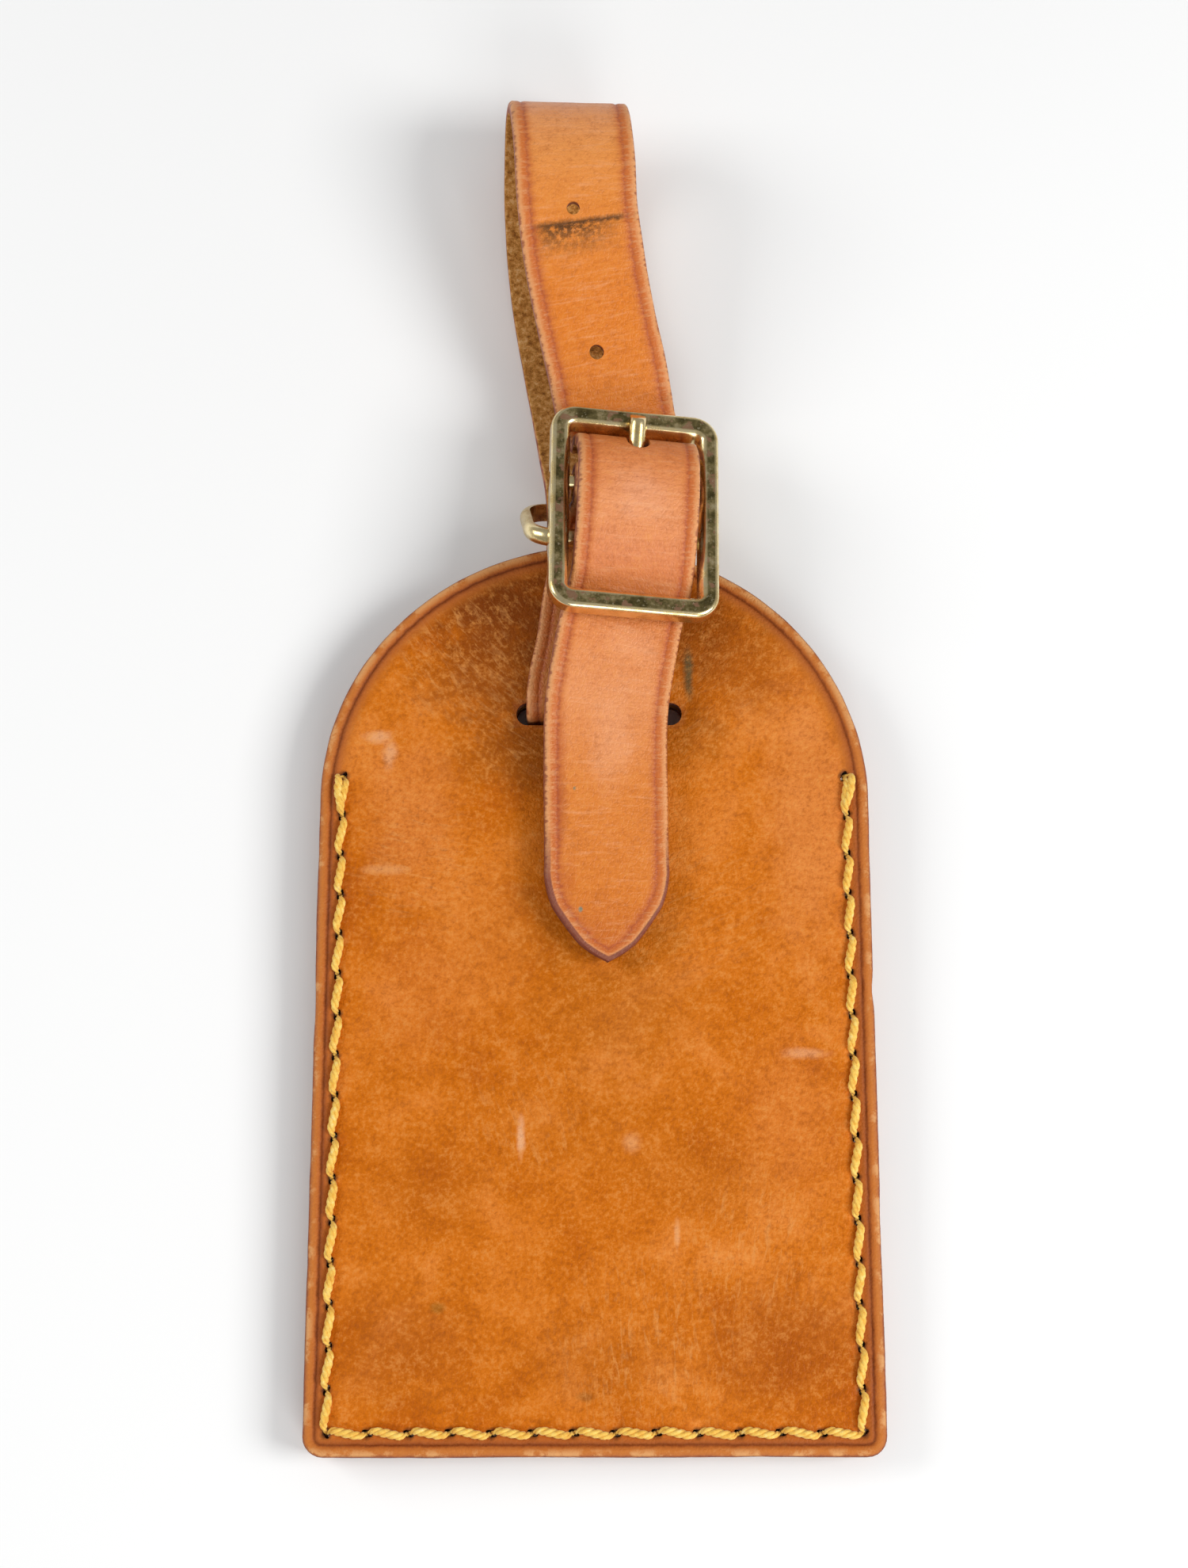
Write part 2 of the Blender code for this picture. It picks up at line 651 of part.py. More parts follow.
main()
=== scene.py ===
"""The looks of a leather luggage tag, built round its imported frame.

Shapes are worked out in millimetres in the tag's own axes: X to the right, Y from the sewn
bottom edge to the strap's loop, Z up out of the front face. One matrix then places them in
the frame, where the tag leans a little on the strap behind its slot.
"""
import json
import math

import bmesh
import bpy
import numpy as np
from mathutils import Matrix, Vector, noise
from mathutils.kdtree import KDTree

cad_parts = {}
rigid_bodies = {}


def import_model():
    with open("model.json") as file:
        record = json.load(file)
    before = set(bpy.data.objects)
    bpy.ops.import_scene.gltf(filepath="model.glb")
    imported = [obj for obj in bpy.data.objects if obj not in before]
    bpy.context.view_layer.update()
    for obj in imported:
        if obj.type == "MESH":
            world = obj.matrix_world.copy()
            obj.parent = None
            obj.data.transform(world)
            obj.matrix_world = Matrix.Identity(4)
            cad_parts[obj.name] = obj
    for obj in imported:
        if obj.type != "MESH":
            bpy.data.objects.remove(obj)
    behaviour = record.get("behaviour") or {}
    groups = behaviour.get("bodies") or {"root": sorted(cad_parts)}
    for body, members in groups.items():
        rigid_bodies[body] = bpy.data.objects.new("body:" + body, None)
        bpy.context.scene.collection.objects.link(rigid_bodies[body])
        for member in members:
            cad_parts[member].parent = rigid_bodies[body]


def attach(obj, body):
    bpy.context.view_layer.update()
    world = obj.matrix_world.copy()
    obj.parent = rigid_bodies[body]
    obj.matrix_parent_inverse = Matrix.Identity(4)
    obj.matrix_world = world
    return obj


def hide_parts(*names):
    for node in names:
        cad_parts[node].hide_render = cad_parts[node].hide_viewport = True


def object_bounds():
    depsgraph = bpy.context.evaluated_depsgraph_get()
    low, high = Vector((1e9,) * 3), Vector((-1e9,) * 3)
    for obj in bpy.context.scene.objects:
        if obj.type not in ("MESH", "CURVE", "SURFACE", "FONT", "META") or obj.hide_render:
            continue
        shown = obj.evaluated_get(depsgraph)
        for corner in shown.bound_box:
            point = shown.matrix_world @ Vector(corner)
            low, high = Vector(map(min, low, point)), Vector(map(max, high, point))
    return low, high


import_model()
CAD_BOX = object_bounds()

MM = 0.001
LEAN = math.atan(1.2 / 90.0)
REST = Vector((0.0, 92.0, 0.0))
ORIGIN = Vector((0.0, 86.27, 0.0))
PLACE = (Matrix.Scale(MM, 4) @ Matrix.Translation(REST - ORIGIN)
         @ Matrix.Rotation(LEAN, 4, "X") @ Matrix.Translation(-REST))

# Panels
PANEL_THICK = 2.0
HALF_WIDTH = 35.0
ARCH_HALF_WIDTH = 34.5
ARCH_FOOT = 80.0
ARCH_RISE = 33.2
CORNER = 2.5
REAR_Z = 2.1
FRONT_Z = 4.4
FACE_Z = FRONT_Z + PANEL_THICK
HEART = Vector((0.0, 57.0, 0.0))     # the panels' rings of faces close in on this point
RIM_BAND = 2.3                       # rings keep their distance from the outline up to here
EDGE_ROUND = 0.55
CREASE = 1.50                        # the creased line's distance from the cut edge
SLOT = (-9.8, 11.1, 89.6, 92.5)      # left, right, low, high
POCKET_HALF = 28.0
POCKET_LOW = 4.0
POCKET_RELIEF = 0.5
CARD = (55.0, 85.0, 0.42)
CARD_LOW = 4.3

# Seam
SEAM_INSET = 2.9
SEAM_TOP = 83.0
SEAM_WANDER = 0.06
SIDE_STITCHES = 16
BOTTOM_STITCHES = 13
STITCH_LEAN = 0.27
THREAD_STRANDS = 3
THREAD_TWIST = 2.9                   # one turn of the strands
THREAD_STEP = 0.28                   # between the points that a strand is drawn through

# Strap
STRAP_WIDTH = 15.6
STRAP_THICK = 1.8
FOLD_THICK = 1.4
TIP_LENGTH = 11.7
STRAP_CREASE = 1.55
FOLD_Y = 154.5                       # where a hard fold crosses the front of the loop
SLIT_RADIUS = 2.9                    # of the slit that the prong's eye turns in
PRONG_HOLE_LEAN = 55.0
SPARE_HOLES = (                      # direction, place, radius
    ((0.03, -0.22, 1.0), (-2.6, 155.9, 14.0), 0.85),
    ((0.08, -0.26, 1.0), (0.35, 138.2, 9.3), 0.95),
)

# Buckle
FRAME_CENTRE = Vector((5.05, 115.5, 12.5))
FRAME_TURN = math.radians(-2.5)
FRAME_ROLL = math.radians(10.0)
FRAME_TILT = math.radians(-10.0)
FRAME_AXES = (Matrix.Rotation(FRAME_TURN, 3, "Z") @ Matrix.Rotation(FRAME_ROLL, 3, "Y")
              @ Matrix.Rotation(FRAME_TILT, 3, "X"))
FRAME_WIDTH = 21.6
FRAME_LENGTH = 28.4
SIDE_BAR = 2.6
END_BAR = 3.0
FRAME_THICK = 2.5
FRAME_CORNER = 3.2
BAR_V = 4.0
BAR_N = -0.8
BAR_RADIUS = 1.0
BAR_FIT = 0.12                       # its clearance in the frame
BAR_CORNERS = (                      # quarter of a bar's section, how wide and how deep it is rounded
    (0, 0.65, 0.65), (1, 1.1, 1.75), (2, 0.72, 0.72), (3, 0.6, 0.6),
)
PRONG_TIP = (12.6, 2.5)              # along the frame and off its plane
EYE_INNER = 1.3
EYE_OUTER = 2.6
EYE_WIDTH = 2.6

# Keeper ring
RING_INNER = (20.2, 10.4)
RING_WALL = 1.2
RING_BAND = 2.3
RING_CENTRE = Vector((2.0, 115.5, 6.85))
RING_CORNER = 4.0
RING_AXES = (Matrix.Rotation(math.radians(7.5), 3, "Y")
             @ Matrix.Rotation(math.radians(35.0), 3, "X"))


# Camera
CAMERA_PLACE = Vector((0.0, 14.9, 321.9))
CAMERA_TILT = math.radians(12.0)
CAMERA_ROLL = math.radians(-0.07)
CAMERA_LENS = 59.0


# ---------------------------------------------------------------- mesh helpers
def frame_point(u, v, n):
    return FRAME_CENTRE + FRAME_AXES @ Vector((u, v, n))


def wave(x, y, z, size):
    """Smooth noise from -1 to 1 whose lumps are about size millimetres across."""
    return noise.noise(Vector((x, y, z)) / size)


def bell(distance, width):
    return math.exp(-(distance / width) ** 2)


def sweep(bm, rings, closed=False):
    """Shape a grid into a tube through rings of points; cap its ends, or join them."""
    rows = rings + rings[:1] if closed else rings
    made = bmesh.ops.create_grid(bm, x_segments=len(rings[0]), y_segments=len(rows) - 1, size=1.0)
    verts = sorted(made["verts"], key=lambda vert: (round(vert.co.y, 5), vert.co.x))
    points = [point for ring in rows for point in (*ring, ring[0])]
    for vert, point in zip(verts, points):
        vert.co = point
    bmesh.ops.remove_doubles(bm, verts=verts, dist=1e-5)
    if not closed:
        bmesh.ops.holes_fill(bm, edges=[edge for edge in bm.edges if edge.is_boundary], sides=0)


def linked(name, data):
    """An object of some data, in the scene."""
    obj = bpy.data.objects.new(name, data)
    bpy.context.scene.collection.objects.link(obj)
    return obj


def to_object(name, bm):
    """An object of a mesh that is still in the tag's millimetres."""
    bmesh.ops.recalc_face_normals(bm, faces=bm.faces)
    mesh = bpy.data.meshes.new(name)
    bm.to_mesh(mesh)
    bm.free()
    return linked(name, mesh)


def rounded(bm, edges, offset, segments):
    bmesh.ops.bevel(bm, geom=edges, offset=offset, segments=segments, profile=0.5, affect="EDGES",
                    material=-1)


def searchable(points):
    """A tree that finds the nearest of some points."""
    found = KDTree(len(points))
    for index, point in enumerate(points):
        found.insert(point, index)
    found.balance()
    return found


def cut(obj, cutters):
    """Take the cutters' shapes out of obj. build() removes the cutters at its end."""
    for cutter in cutters:
        modifier = obj.modifiers.new(cutter.name, "BOOLEAN")
        modifier.operation = "DIFFERENCE"
        modifier.solver = "EXACT"
        modifier.object = cutter
    graph = bpy.context.evaluated_depsgraph_get()
    whole = bpy.data.meshes.new_from_object(obj.evaluated_get(graph))
    obj.modifiers.clear()
    obj.data = whole


def finish(obj, finish_material, body, node, sharp=50.0):
    """Place a finished piece in the frame, and let it ride on its body."""
    mesh = obj.data
    mesh.transform(PLACE)
    mesh.materials.clear()
    mesh.materials.append(finish_material)
    mesh.shade_smooth()
    mesh.set_sharp_from_angle(angle=math.radians(sharp))
    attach(obj, body)
    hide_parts(node)
    return obj


def write_attribute(obj, name, values):
    layer = obj.data.attributes.new(name, "FLOAT", "POINT")
    layer.data.foreach_set("value", np.asarray(values, np.float32))


def vertex_array(obj):
    flat = np.zeros(len(obj.data.vertices) * 3, np.float32)
    obj.data.vertices.foreach_get("co", flat)
    return flat.reshape(-1, 3).astype(float)


def between(stations, index, t):
    """A point on the Catmull-Rom curve through the stations, t of the way past one of them."""
    start, end = stations[index], stations[index + 1]
    before = stations[index - 1] if index else start * 2 - end
    after = stations[index + 2] if index + 2 < len(stations) else end * 2 - start
    return 0.5 * (2 * start + (end - before) * t
                  + (2 * before - 5 * start + 4 * end - after) * t * t
                  + (3 * start - before - 3 * end + after) * t ** 3)


def smooth_route(stations, step):
    """Points every step or so along the curve through the stations."""
    route = []
    for index in range(len(stations) - 1):
        length = (stations[index + 1].to_3d() - stations[index].to_3d()).length
        count = max(1, round(length / step))
        route += [between(stations, index, i / count) for i in range(count)]
    return route + [stations[-1]]


# ---------------------------------------------------------------- panels
def half_width(y):
    if y <= ARCH_FOOT:
        return HALF_WIDTH + (ARCH_HALF_WIDTH - HALF_WIDTH) * y / ARCH_FOOT
    rise = min(1.0, (y - ARCH_FOOT) / ARCH_RISE)
    return ARCH_HALF_WIDTH * math.sqrt(1.0 - rise * rise)


def outline():
    """Points and outward directions round a panel, about 0.9 mm apart."""
    points = []
    for side in (-1, 1):
        corner_x = side * (HALF_WIDTH - CORNER)
        start = math.pi if side < 0 else 1.5 * math.pi
        for i in range(7):
            angle = start + i * math.pi / 12
            points.append(Vector((corner_x + CORNER * math.cos(angle),
                                  CORNER + CORNER * math.sin(angle))))
        if side < 0:
            flat = HALF_WIDTH - CORNER
            points += [Vector((-flat + 2 * flat * i / 74, 0.0)) for i in range(1, 74)]
    sides = [CORNER + (ARCH_FOOT - CORNER) * i / 86 for i in range(1, 86)]
    points += [Vector((half_width(y), y)) for y in sides]
    for i in range(121):
        angle = i * math.pi / 120
        points.append(Vector((ARCH_HALF_WIDTH * math.cos(angle),
                              ARCH_FOOT + ARCH_RISE * math.sin(angle))))
    points += [Vector((-half_width(y), y)) for y in reversed(sides)]
    outward = []
    for index, point in enumerate(points):
        along = points[(index + 1) % len(points)] - points[index - 1]
        outward.append(Vector((along.y, -along.x)).normalized())
    return points, outward


OUTLINE, OUTWARD = outline()


def rim_distance(places):
    """How far inside the panels' outline each place is."""
    start = np.array([tuple(point) for point in OUTLINE])
    step = np.roll(start, -1, axis=0) - start
    found = np.full(len(places), 1e9)
    for a, d in zip(start, step):
        off = places[:, :2] - a
        t = np.clip(off @ d / (d @ d), 0.0, 1.0)
        gap = off - t[:, None] * d
        found = np.minimum(found, np.hypot(gap[:, 0], gap[:, 1]))
    return found


def seam_stations():
    """Each stitch hole as (x, y, direction of the seam), from top left to top right."""
    low = SEAM_INSET
    side_pitch = (SEAM_TOP - low) / SIDE_STITCHES
    bottom_half = half_width(low) - SEAM_INSET
    bottom_pitch = 2 * bottom_half / BOTTOM_STITCHES
    stations = []
    for i in range(SIDE_STITCHES):
        y = SEAM_TOP - i * side_pitch
        stations.append((SEAM_INSET - half_width(y), y, math.radians(-90)))
    stations.append((-bottom_half, low, math.radians(-45)))
    for i in range(1, BOTTOM_STITCHES):
        stations.append((-bottom_half + i * bottom_pitch, low, 0.0))
    stations.append((bottom_half, low, math.radians(45)))
    for i in range(1, SIDE_STITCHES + 1):
        y = low + i * side_pitch
        stations.append((half_width(y) - SEAM_INSET, y, math.radians(90)))
    strayed = []
    for index, (x, y, heading) in enumerate(stations):
        stray = SEAM_WANDER * math.sin(2.4 * index)
        strayed.append((x - stray * math.sin(heading), y + stray * math.cos(heading), heading))
    return strayed


HOLES = seam_stations()


def face_relief(x, y, rim):
    """How far the leather's outer face stands off its flat plane."""
    height = -0.24 * bell(rim - CREASE, 0.24) + 0.05 * bell(rim - 1.1, 0.5)
    if y < SEAM_TOP + 3.0:
        height -= 0.16 * bell(rim - SEAM_INSET, 0.75)
    if rim < 5.0:
        for hole_x, hole_y, heading in HOLES:
            if abs(hole_x - x) < 3.0 and abs(hole_y - y) < 3.0:
                height -= 0.16 * bell(math.hypot(hole_x - x, hole_y - y), 0.9)
    slot_x = min(max(x, SLOT[0]), SLOT[1])
    slot_y = min(max(y, SLOT[2]), SLOT[3])
    height -= 0.28 * bell(math.hypot(slot_x - x, slot_y - y), 1.5)
    height += 0.10 * wave(x, y, 3.0, 22.0) + 0.03 * wave(x, y, 9.0, 5.0)
    height += 0.014 * wave(x, y, 5.0, 1.6)
    return height


def panel_rings(outer_z, side, seed):
    """Rings of points from the middle of the outer face, round the edge, to the inner face's.

    side is 1 where the outer face looks up and -1 where it looks down.
    """
    nicked = []
    for index, (point, out) in enumerate(zip(OUTLINE, OUTWARD)):
        stray = 0.05 * wave(point.x, point.y, seed, 3.0) + 0.10 * wave(point.x, point.y, seed, 14.0)
        stray -= 0.28 * bell(math.hypot(point.x - 35.0, point.y - 56.0), 1.6)
        stray -= 0.16 * bell(math.hypot(point.x + 34.8, point.y - 54.0), 3.0)
        nicked.append(point + out * (stray - 0.08))
    profile = []
    for share in (0.01, 0.04, 0.08):
        profile.append((None, share, 0.0))
    for i in range(34):
        profile.append((None, 0.12 + 0.79 * i / 33, 0.0))
    for i in range(1, 10):
        profile.append((None, 0.91 + 0.09 * i / 10, 0.0))
    for inset in (2.3, 2.1, 1.95, 1.85, 1.75, 1.65, 1.5, 1.3, 1.0, 0.78):
        profile.append((inset, 1.0, 0.0))
    for i in range(6):
        angle = i * math.pi / 10
        profile.append((EDGE_ROUND * (1 - math.sin(angle)), 1.0, EDGE_ROUND * (1 - math.cos(angle))))
    profile.append((-0.04, 1.0, PANEL_THICK * 0.5))
    for inset, drop in ((0.0, 0.3), (0.1, 0.1), (0.32, 0.0)):
        profile.append((inset, 1.0, PANEL_THICK - drop))
    for share in (1.0, 0.7, 0.35, 0.02):
        profile.append((None, share, PANEL_THICK))
    rings = []
    for inset, share, drop in profile:
        ring = []
        for point, out in zip(nicked, OUTWARD):
            if inset is None:
                rest = point - out * RIM_BAND
                flat = HEART.xy + (rest - HEART.xy) * share
            else:
                flat = point - out * inset
            ring.append([flat.x, flat.y, drop])
        ring = np.array(ring)
        if drop < EDGE_ROUND:
            rims = rim_distance(ring)
            fade = 1.0 - drop / EDGE_ROUND
            for place, rim in zip(ring, rims):
                place[2] -= face_relief(place[0], place[1], rim) * fade
        rings.append([Vector((x, y, outer_z - side * z)) for x, y, z in ring])
    return rings


def stitch_hole_cutter():
    """A slanted awl hole at each station, through both panels."""
    bm = bmesh.new()
    for x, y, heading in HOLES:
        turn = Matrix.Translation((x, y, REAR_Z + PANEL_THICK)) @ Matrix.Rotation(
            heading - math.radians(24), 4, "Z")
        bmesh.ops.create_cone(bm, cap_ends=True, segments=10, radius1=1.0, radius2=1.0, depth=9.0,
                              matrix=turn @ Matrix.Diagonal((0.72, 0.36, 1.0, 1.0)))
    return to_object("stitch_hole_cutter", bm)


def slot_cutter():
    left, right, low, high = SLOT
    radius = (high - low) / 2
    bm = bmesh.new()
    middle = Matrix.Translation(((left + right) / 2, (low + high) / 2, 4.0))
    bmesh.ops.create_cube(bm, size=1.0,
                          matrix=middle @ Matrix.Diagonal((right - left, high - low, 10.0, 1.0)))
    upright = [edge for edge in bm.edges if abs(edge.verts[0].co.z - edge.verts[1].co.z) > 1.0]
    rounded(bm, upright, radius * 0.98, 6)
    return to_object("slot_cutter", bm)


def pocket_cutter():
    low = REAR_Z + PANEL_THICK - POCKET_RELIEF
    high = FRONT_Z + POCKET_RELIEF
    bm = bmesh.new()
    bmesh.ops.create_cube(bm, size=1.0,
                          matrix=Matrix.Translation((0.0, POCKET_LOW + 63.0, (low + high) / 2))
                          @ Matrix.Diagonal((POCKET_HALF * 2, 126.0, high - low, 1.0)))
    return to_object("pocket_cutter", bm)


def panel(name, outer_z, side, seed, leather, cutters):
    bm = bmesh.new()
    sweep(bm, panel_rings(outer_z, side, seed))
    obj = to_object(name, bm)
    cut(obj, cutters)
    places = vertex_array(obj)
    depth = (outer_z - places[:, 2]) * side
    rims = rim_distance(places)
    holes = searchable([(x, y, 0.0) for x, y, _ in HOLES])
    write_attribute(obj, "rim", rims)
    write_attribute(obj, "depth", depth / PANEL_THICK)
    write_attribute(obj, "hole", [holes.find((x, y, 0.0))[2] for x, y, _ in places])
    return finish(obj, leather, "tag", name.replace("_leather", ""))


# ---------------------------------------------------------------- card
def address_card(card_stock):
    """A plain card with rounded corners, slid into the pocket."""
    bm = bmesh.new()
    middle = Matrix.Translation((0.0, CARD_LOW + CARD[1] / 2, REAR_Z + PANEL_THICK + 0.15))
    bmesh.ops.create_cube(bm, size=1.0, matrix=middle @ Matrix.Diagonal((*CARD, 1.0)))
    upright = [edge for edge in bm.edges if abs(edge.verts[0].co.z - edge.verts[1].co.z) > 0.1]
    rounded(bm, upright, 3.0, 8)
    rims = [edge for edge in bm.edges if abs(edge.verts[0].co.z - edge.verts[1].co.z) < 0.01]
    rounded(bm, rims, 0.08, 2)
    obj = to_object("printed_card", bm)
    return finish(obj, card_stock, "card", "address_card", 30.0)


# ---------------------------------------------------------------- threads
def plied(curve, stations, wide):
    """Add a twisted thread's strands, through the (x, y, z, thickness) stations, to a curve."""
    route = smooth_route(stations, THREAD_STEP)
    path = [point.to_3d() for point in route]
    travelled = 0.0
    lines = [curve.splines.new("POLY") for _ in range(THREAD_STRANDS)]
    for line in lines:
        line.points.add(len(path) - 1)
    for index, point in enumerate(path):
        size = route[index].w * wide
        before = path[max(0, index - 1)]
        after = path[min(len(path) - 1, index + 1)]
        travelled += (point - before).length
        tangent = (after - before).normalized()
        side = tangent.cross(Vector((0, 0, 1)))
        if side.length < 0.2:
            side = tangent.cross(Vector((0.6, 0.8, 0)))
        side.normalize()
        up = side.cross(tangent)
        for strand, line in enumerate(lines):
            angle = 2 * math.pi * (travelled / THREAD_TWIST + strand / THREAD_STRANDS)
            centre = point + (side * math.cos(angle) + up * math.sin(angle)) * size * 0.26
            line.points[index].co = (*centre, 1.0)
            line.points[index].radius = size * 0.27


def stitch_points(start, end, lie, mouth, dip, lean):
    """One stitch from hole to hole as (x, y, z, thickness) stations."""
    start_at = Vector((start[0], start[1], 0.0))
    end_at = Vector((end[0], end[1], 0.0))
    along = (end_at - start_at).normalized()
    across = Vector((-along.y, along.x, 0.0)) * lean
    length = (end_at - start_at).length
    points = []
    for reach, height, size, swing in ((0.0, dip, 0.58, 0.0), (0.46, mouth, 0.66, 0.6),
                                       (1.05, lie - 0.06, 0.96, 1.0), (length / 2, lie, 1.08, 0.0),
                                       (length - 1.05, lie - 0.06, 0.96, -1.0),
                                       (length - 0.46, mouth, 0.66, -0.6)):
        place = start_at + along * reach + across * swing
        points.append(Vector((place.x, place.y, height, size)))
    return points


def thread(name, side, surface, wide, fibre):
    """The seam's thread on one face, with a doubled stitch at both of its ends."""
    lie = surface + side * 0.30 * wide
    mouth = surface - side * 0.32
    dip = surface - side * 1.0
    stations = []
    for start, end in zip(HOLES, HOLES[1:]):
        stations += stitch_points(start, end, lie, mouth, dip, STITCH_LEAN * side)
    stations.append(Vector((HOLES[-1][0], HOLES[-1][1], dip, 0.6)))
    curve = bpy.data.curves.new(name, "CURVE")
    curve.dimensions = "3D"
    curve.bevel_depth = 1.0
    curve.bevel_resolution = 2
    curve.use_fill_caps = True
    plied(curve, stations, wide)
    for start, end, shift in ((HOLES[0], HOLES[1], -0.5), (HOLES[-1], HOLES[-2], 0.5)):
        double = stitch_points(start, end, lie + side * 0.22, mouth + side * 0.3, dip, 0.15)
        double.append(Vector((end[0], end[1], dip, 0.6)))
        for index in range(1, 4):
            double[index].x += shift * (2.0 - 0.3 * index)
            double[index].y += 0.45
        plied(curve, double, wide)
    holder = linked("route", curve)
    graph = bpy.context.evaluated_depsgraph_get()
    bm = bmesh.new()
    bm.from_mesh(bpy.data.meshes.new_from_object(holder.evaluated_get(graph)))
    bpy.data.objects.remove(holder)
    bmesh.ops.remove_doubles(bm, verts=bm.verts, dist=1e-4)
    obj = to_object(name, bm)
    node = "face_thread" if side > 0 else "back_thread"
    return finish(obj, fibre, "tag", node, 60.0)


# ---------------------------------------------------------------- strap
def strap_stations():
    """The middle of the strap as (x, y, z, roll in degrees), from its fixed end to its tip."""
    fold = FOLD_THICK / 2 + BAR_RADIUS + 0.3
    round_bar = [(0.0, BAR_V + fold * math.cos(turn), BAR_N + fold * math.sin(turn), 10.0)
                 for turn in map(math.radians, (-60, -30, 0, 35, 80, 125))]
    in_slot = [(-0.8, 92.7 + 1.7 * math.cos(turn), centre_z + 1.7 * math.sin(turn), 0.0)
               for centre_z, angles in ((5.9, (95, 135, 180)), (2.66, (180, 225, 265)))
               for turn in map(math.radians, angles)]
    # the short end, behind the layer that it folds back from, and round the centre bar
    folded = [(-0.9, 0.2, -5.1, 9.0), (-0.2, 2.3, -3.3, 10.0), *round_bar, (-0.2, 0.2, -1.6, 9.0)]
    # down in front of the panels, through the slot, up behind them, through the keeper ring,
    # along the surface, and round the top of the loop
    loop = [(3.0, 112.8, 9.0, 6.0), (2.1, 109.2, 8.05, 2.0), (1.2, 105.0, 7.7, 0.5),
            (0.3, 99.0, 7.6, 0.0), (-0.6, 94.6, 7.6, 0.0), *in_slot,
            (-0.6, 94.6, 0.95, 0.0), (0.3, 100.0, 0.93, 0.0), (1.2, 107.5, 0.93, 0.0),
            (1.5, 112.4, 0.95, 0.0), (1.6, 115.0, 1.45, 1.0), (1.7, 117.6, 4.1, 5.0),
            (1.4, 121.2, 4.8, 6.0), (0.6, 126.5, 3.0, 4.0), (-0.6, 133.8, 1.3, 1.0),
            (-1.8, 140.7, 0.95, 0.0), (-2.95, 147.5, 0.9, 0.0), (-3.7, 154.0, 0.9, 0.0),
            (-4.1, 161.0, 1.2, 0.0), (-4.1, 167.0, 2.9, 0.0), (-3.9, 170.9, 6.4, 1.0),
            (-3.4, 171.6, 10.4, 2.0), (-2.9, 168.6, 13.6, 3.0), (-2.4, 163.0, 14.9, 3.0),
            (-2.0, 156.0, 14.0, 3.0), (-1.0, 149.0, 12.0, 4.0), (0.4, 142.0, 10.2, 6.0),
            (1.8, 136.0, 8.6, 9.0)]
    # under the top bar, over the centre bar, under the bottom bar
    buckled = [(-1.8, 16.0, -3.4, 10.0), (-0.7, 12.75, -3.1, 10.0), (-0.2, 11.5, -2.65, 10.0),
               (0.0, 10.45, -1.45, 10.0), (0.0, 9.6, 0.3, 10.0), (0.0, 8.4, 2.1, 10.0),
               (0.0, 6.4, 3.25, 10.0), (0.0, 4.0, 3.55, 10.0), (0.0, 0.0, 3.1, 10.0),
               (0.0, -4.5, 1.6, 10.0), (0.0, -8.8, -1.2, 10.0), (-0.7, -12.6, -3.3, 10.0)]
    # the free end, over the panel
    free = [(2.5, 97.0, 10.9, 9.0), (1.6, 91.0, 10.2, 8.0), (1.45, 85.0, 9.4, 7.0),
            (1.5, 77.0, 8.9, 6.0), (1.6, 68.0, 8.6, 5.0), (1.7, 59.2, 8.4, 5.0)]
    stations = []
    for leg in (folded, loop, buckled, free):
        for x, y, z, roll in leg:
            place = frame_point(x, y, z) if leg in (folded, buckled) else (x, y, z)
            stations.append(Vector((*place, roll)))
    return stations


def tip_half_width(left):
    """Half the strap's width at a distance from its tip: two arcs that meet in a blunt point."""
    half = STRAP_WIDTH / 2
    if left >= TIP_LENGTH:
        return half
    arc = (TIP_LENGTH ** 2 + half ** 2) / (2 * half)
    pointed = half - arc + math.sqrt(arc ** 2 - (TIP_LENGTH - left) ** 2)
    blunt = math.sqrt(5.0 * max(0.0, left) + 0.28 * left * left)
    return max(0.12, min(pointed, blunt))


def strap_profile(half_w, half_t):
    """The strap's section as (across, normal) points, from the grain side round to it again."""
    curve = min(0.62, half_w * 0.6)
    points = []
    insets = [0.62, 0.85, 1.15, 1.35, 1.5, 1.6, 1.75, 2.0, 2.5, 3.4, 4.6, 6.0]
    reach = half_w / (STRAP_WIDTH / 2)
    top = [half_w - inset * reach for inset in insets]
    for w in top:
        points.append((w, half_t))
    points.append((0.0, half_t))
    for w in reversed(top):
        points.append((-w, half_t))
    for i in range(1, 6):
        angle = math.pi / 2 + i * math.pi / 10
        points.append((-half_w + curve + curve * math.cos(angle), half_t - curve + curve * math.sin(angle)))
    points.append((-half_w, -half_t * 0.1))
    under = 0.35
    for i in range(4):
        angle = math.pi + i * math.pi / 6
        points.append((-half_w + under + under * math.cos(angle),
                       -half_t + under + under * math.sin(angle)))
    for i in range(1, 12):
        points.append((-half_w + under + (2 * half_w - 2 * under) * i / 12, -half_t))
    for i in range(4):
        angle = 1.5 * math.pi + i * math.pi / 6
        points.append((half_w - under + under * math.cos(angle), -half_t + under + under * math.sin(angle)))
    points.append((half_w, -half_t * 0.1))
    for i in range(5):
        angle = i * math.pi / 10
        points.append((half_w - curve + curve * math.cos(angle), half_t - curve + curve * math.sin(angle)))
    return points


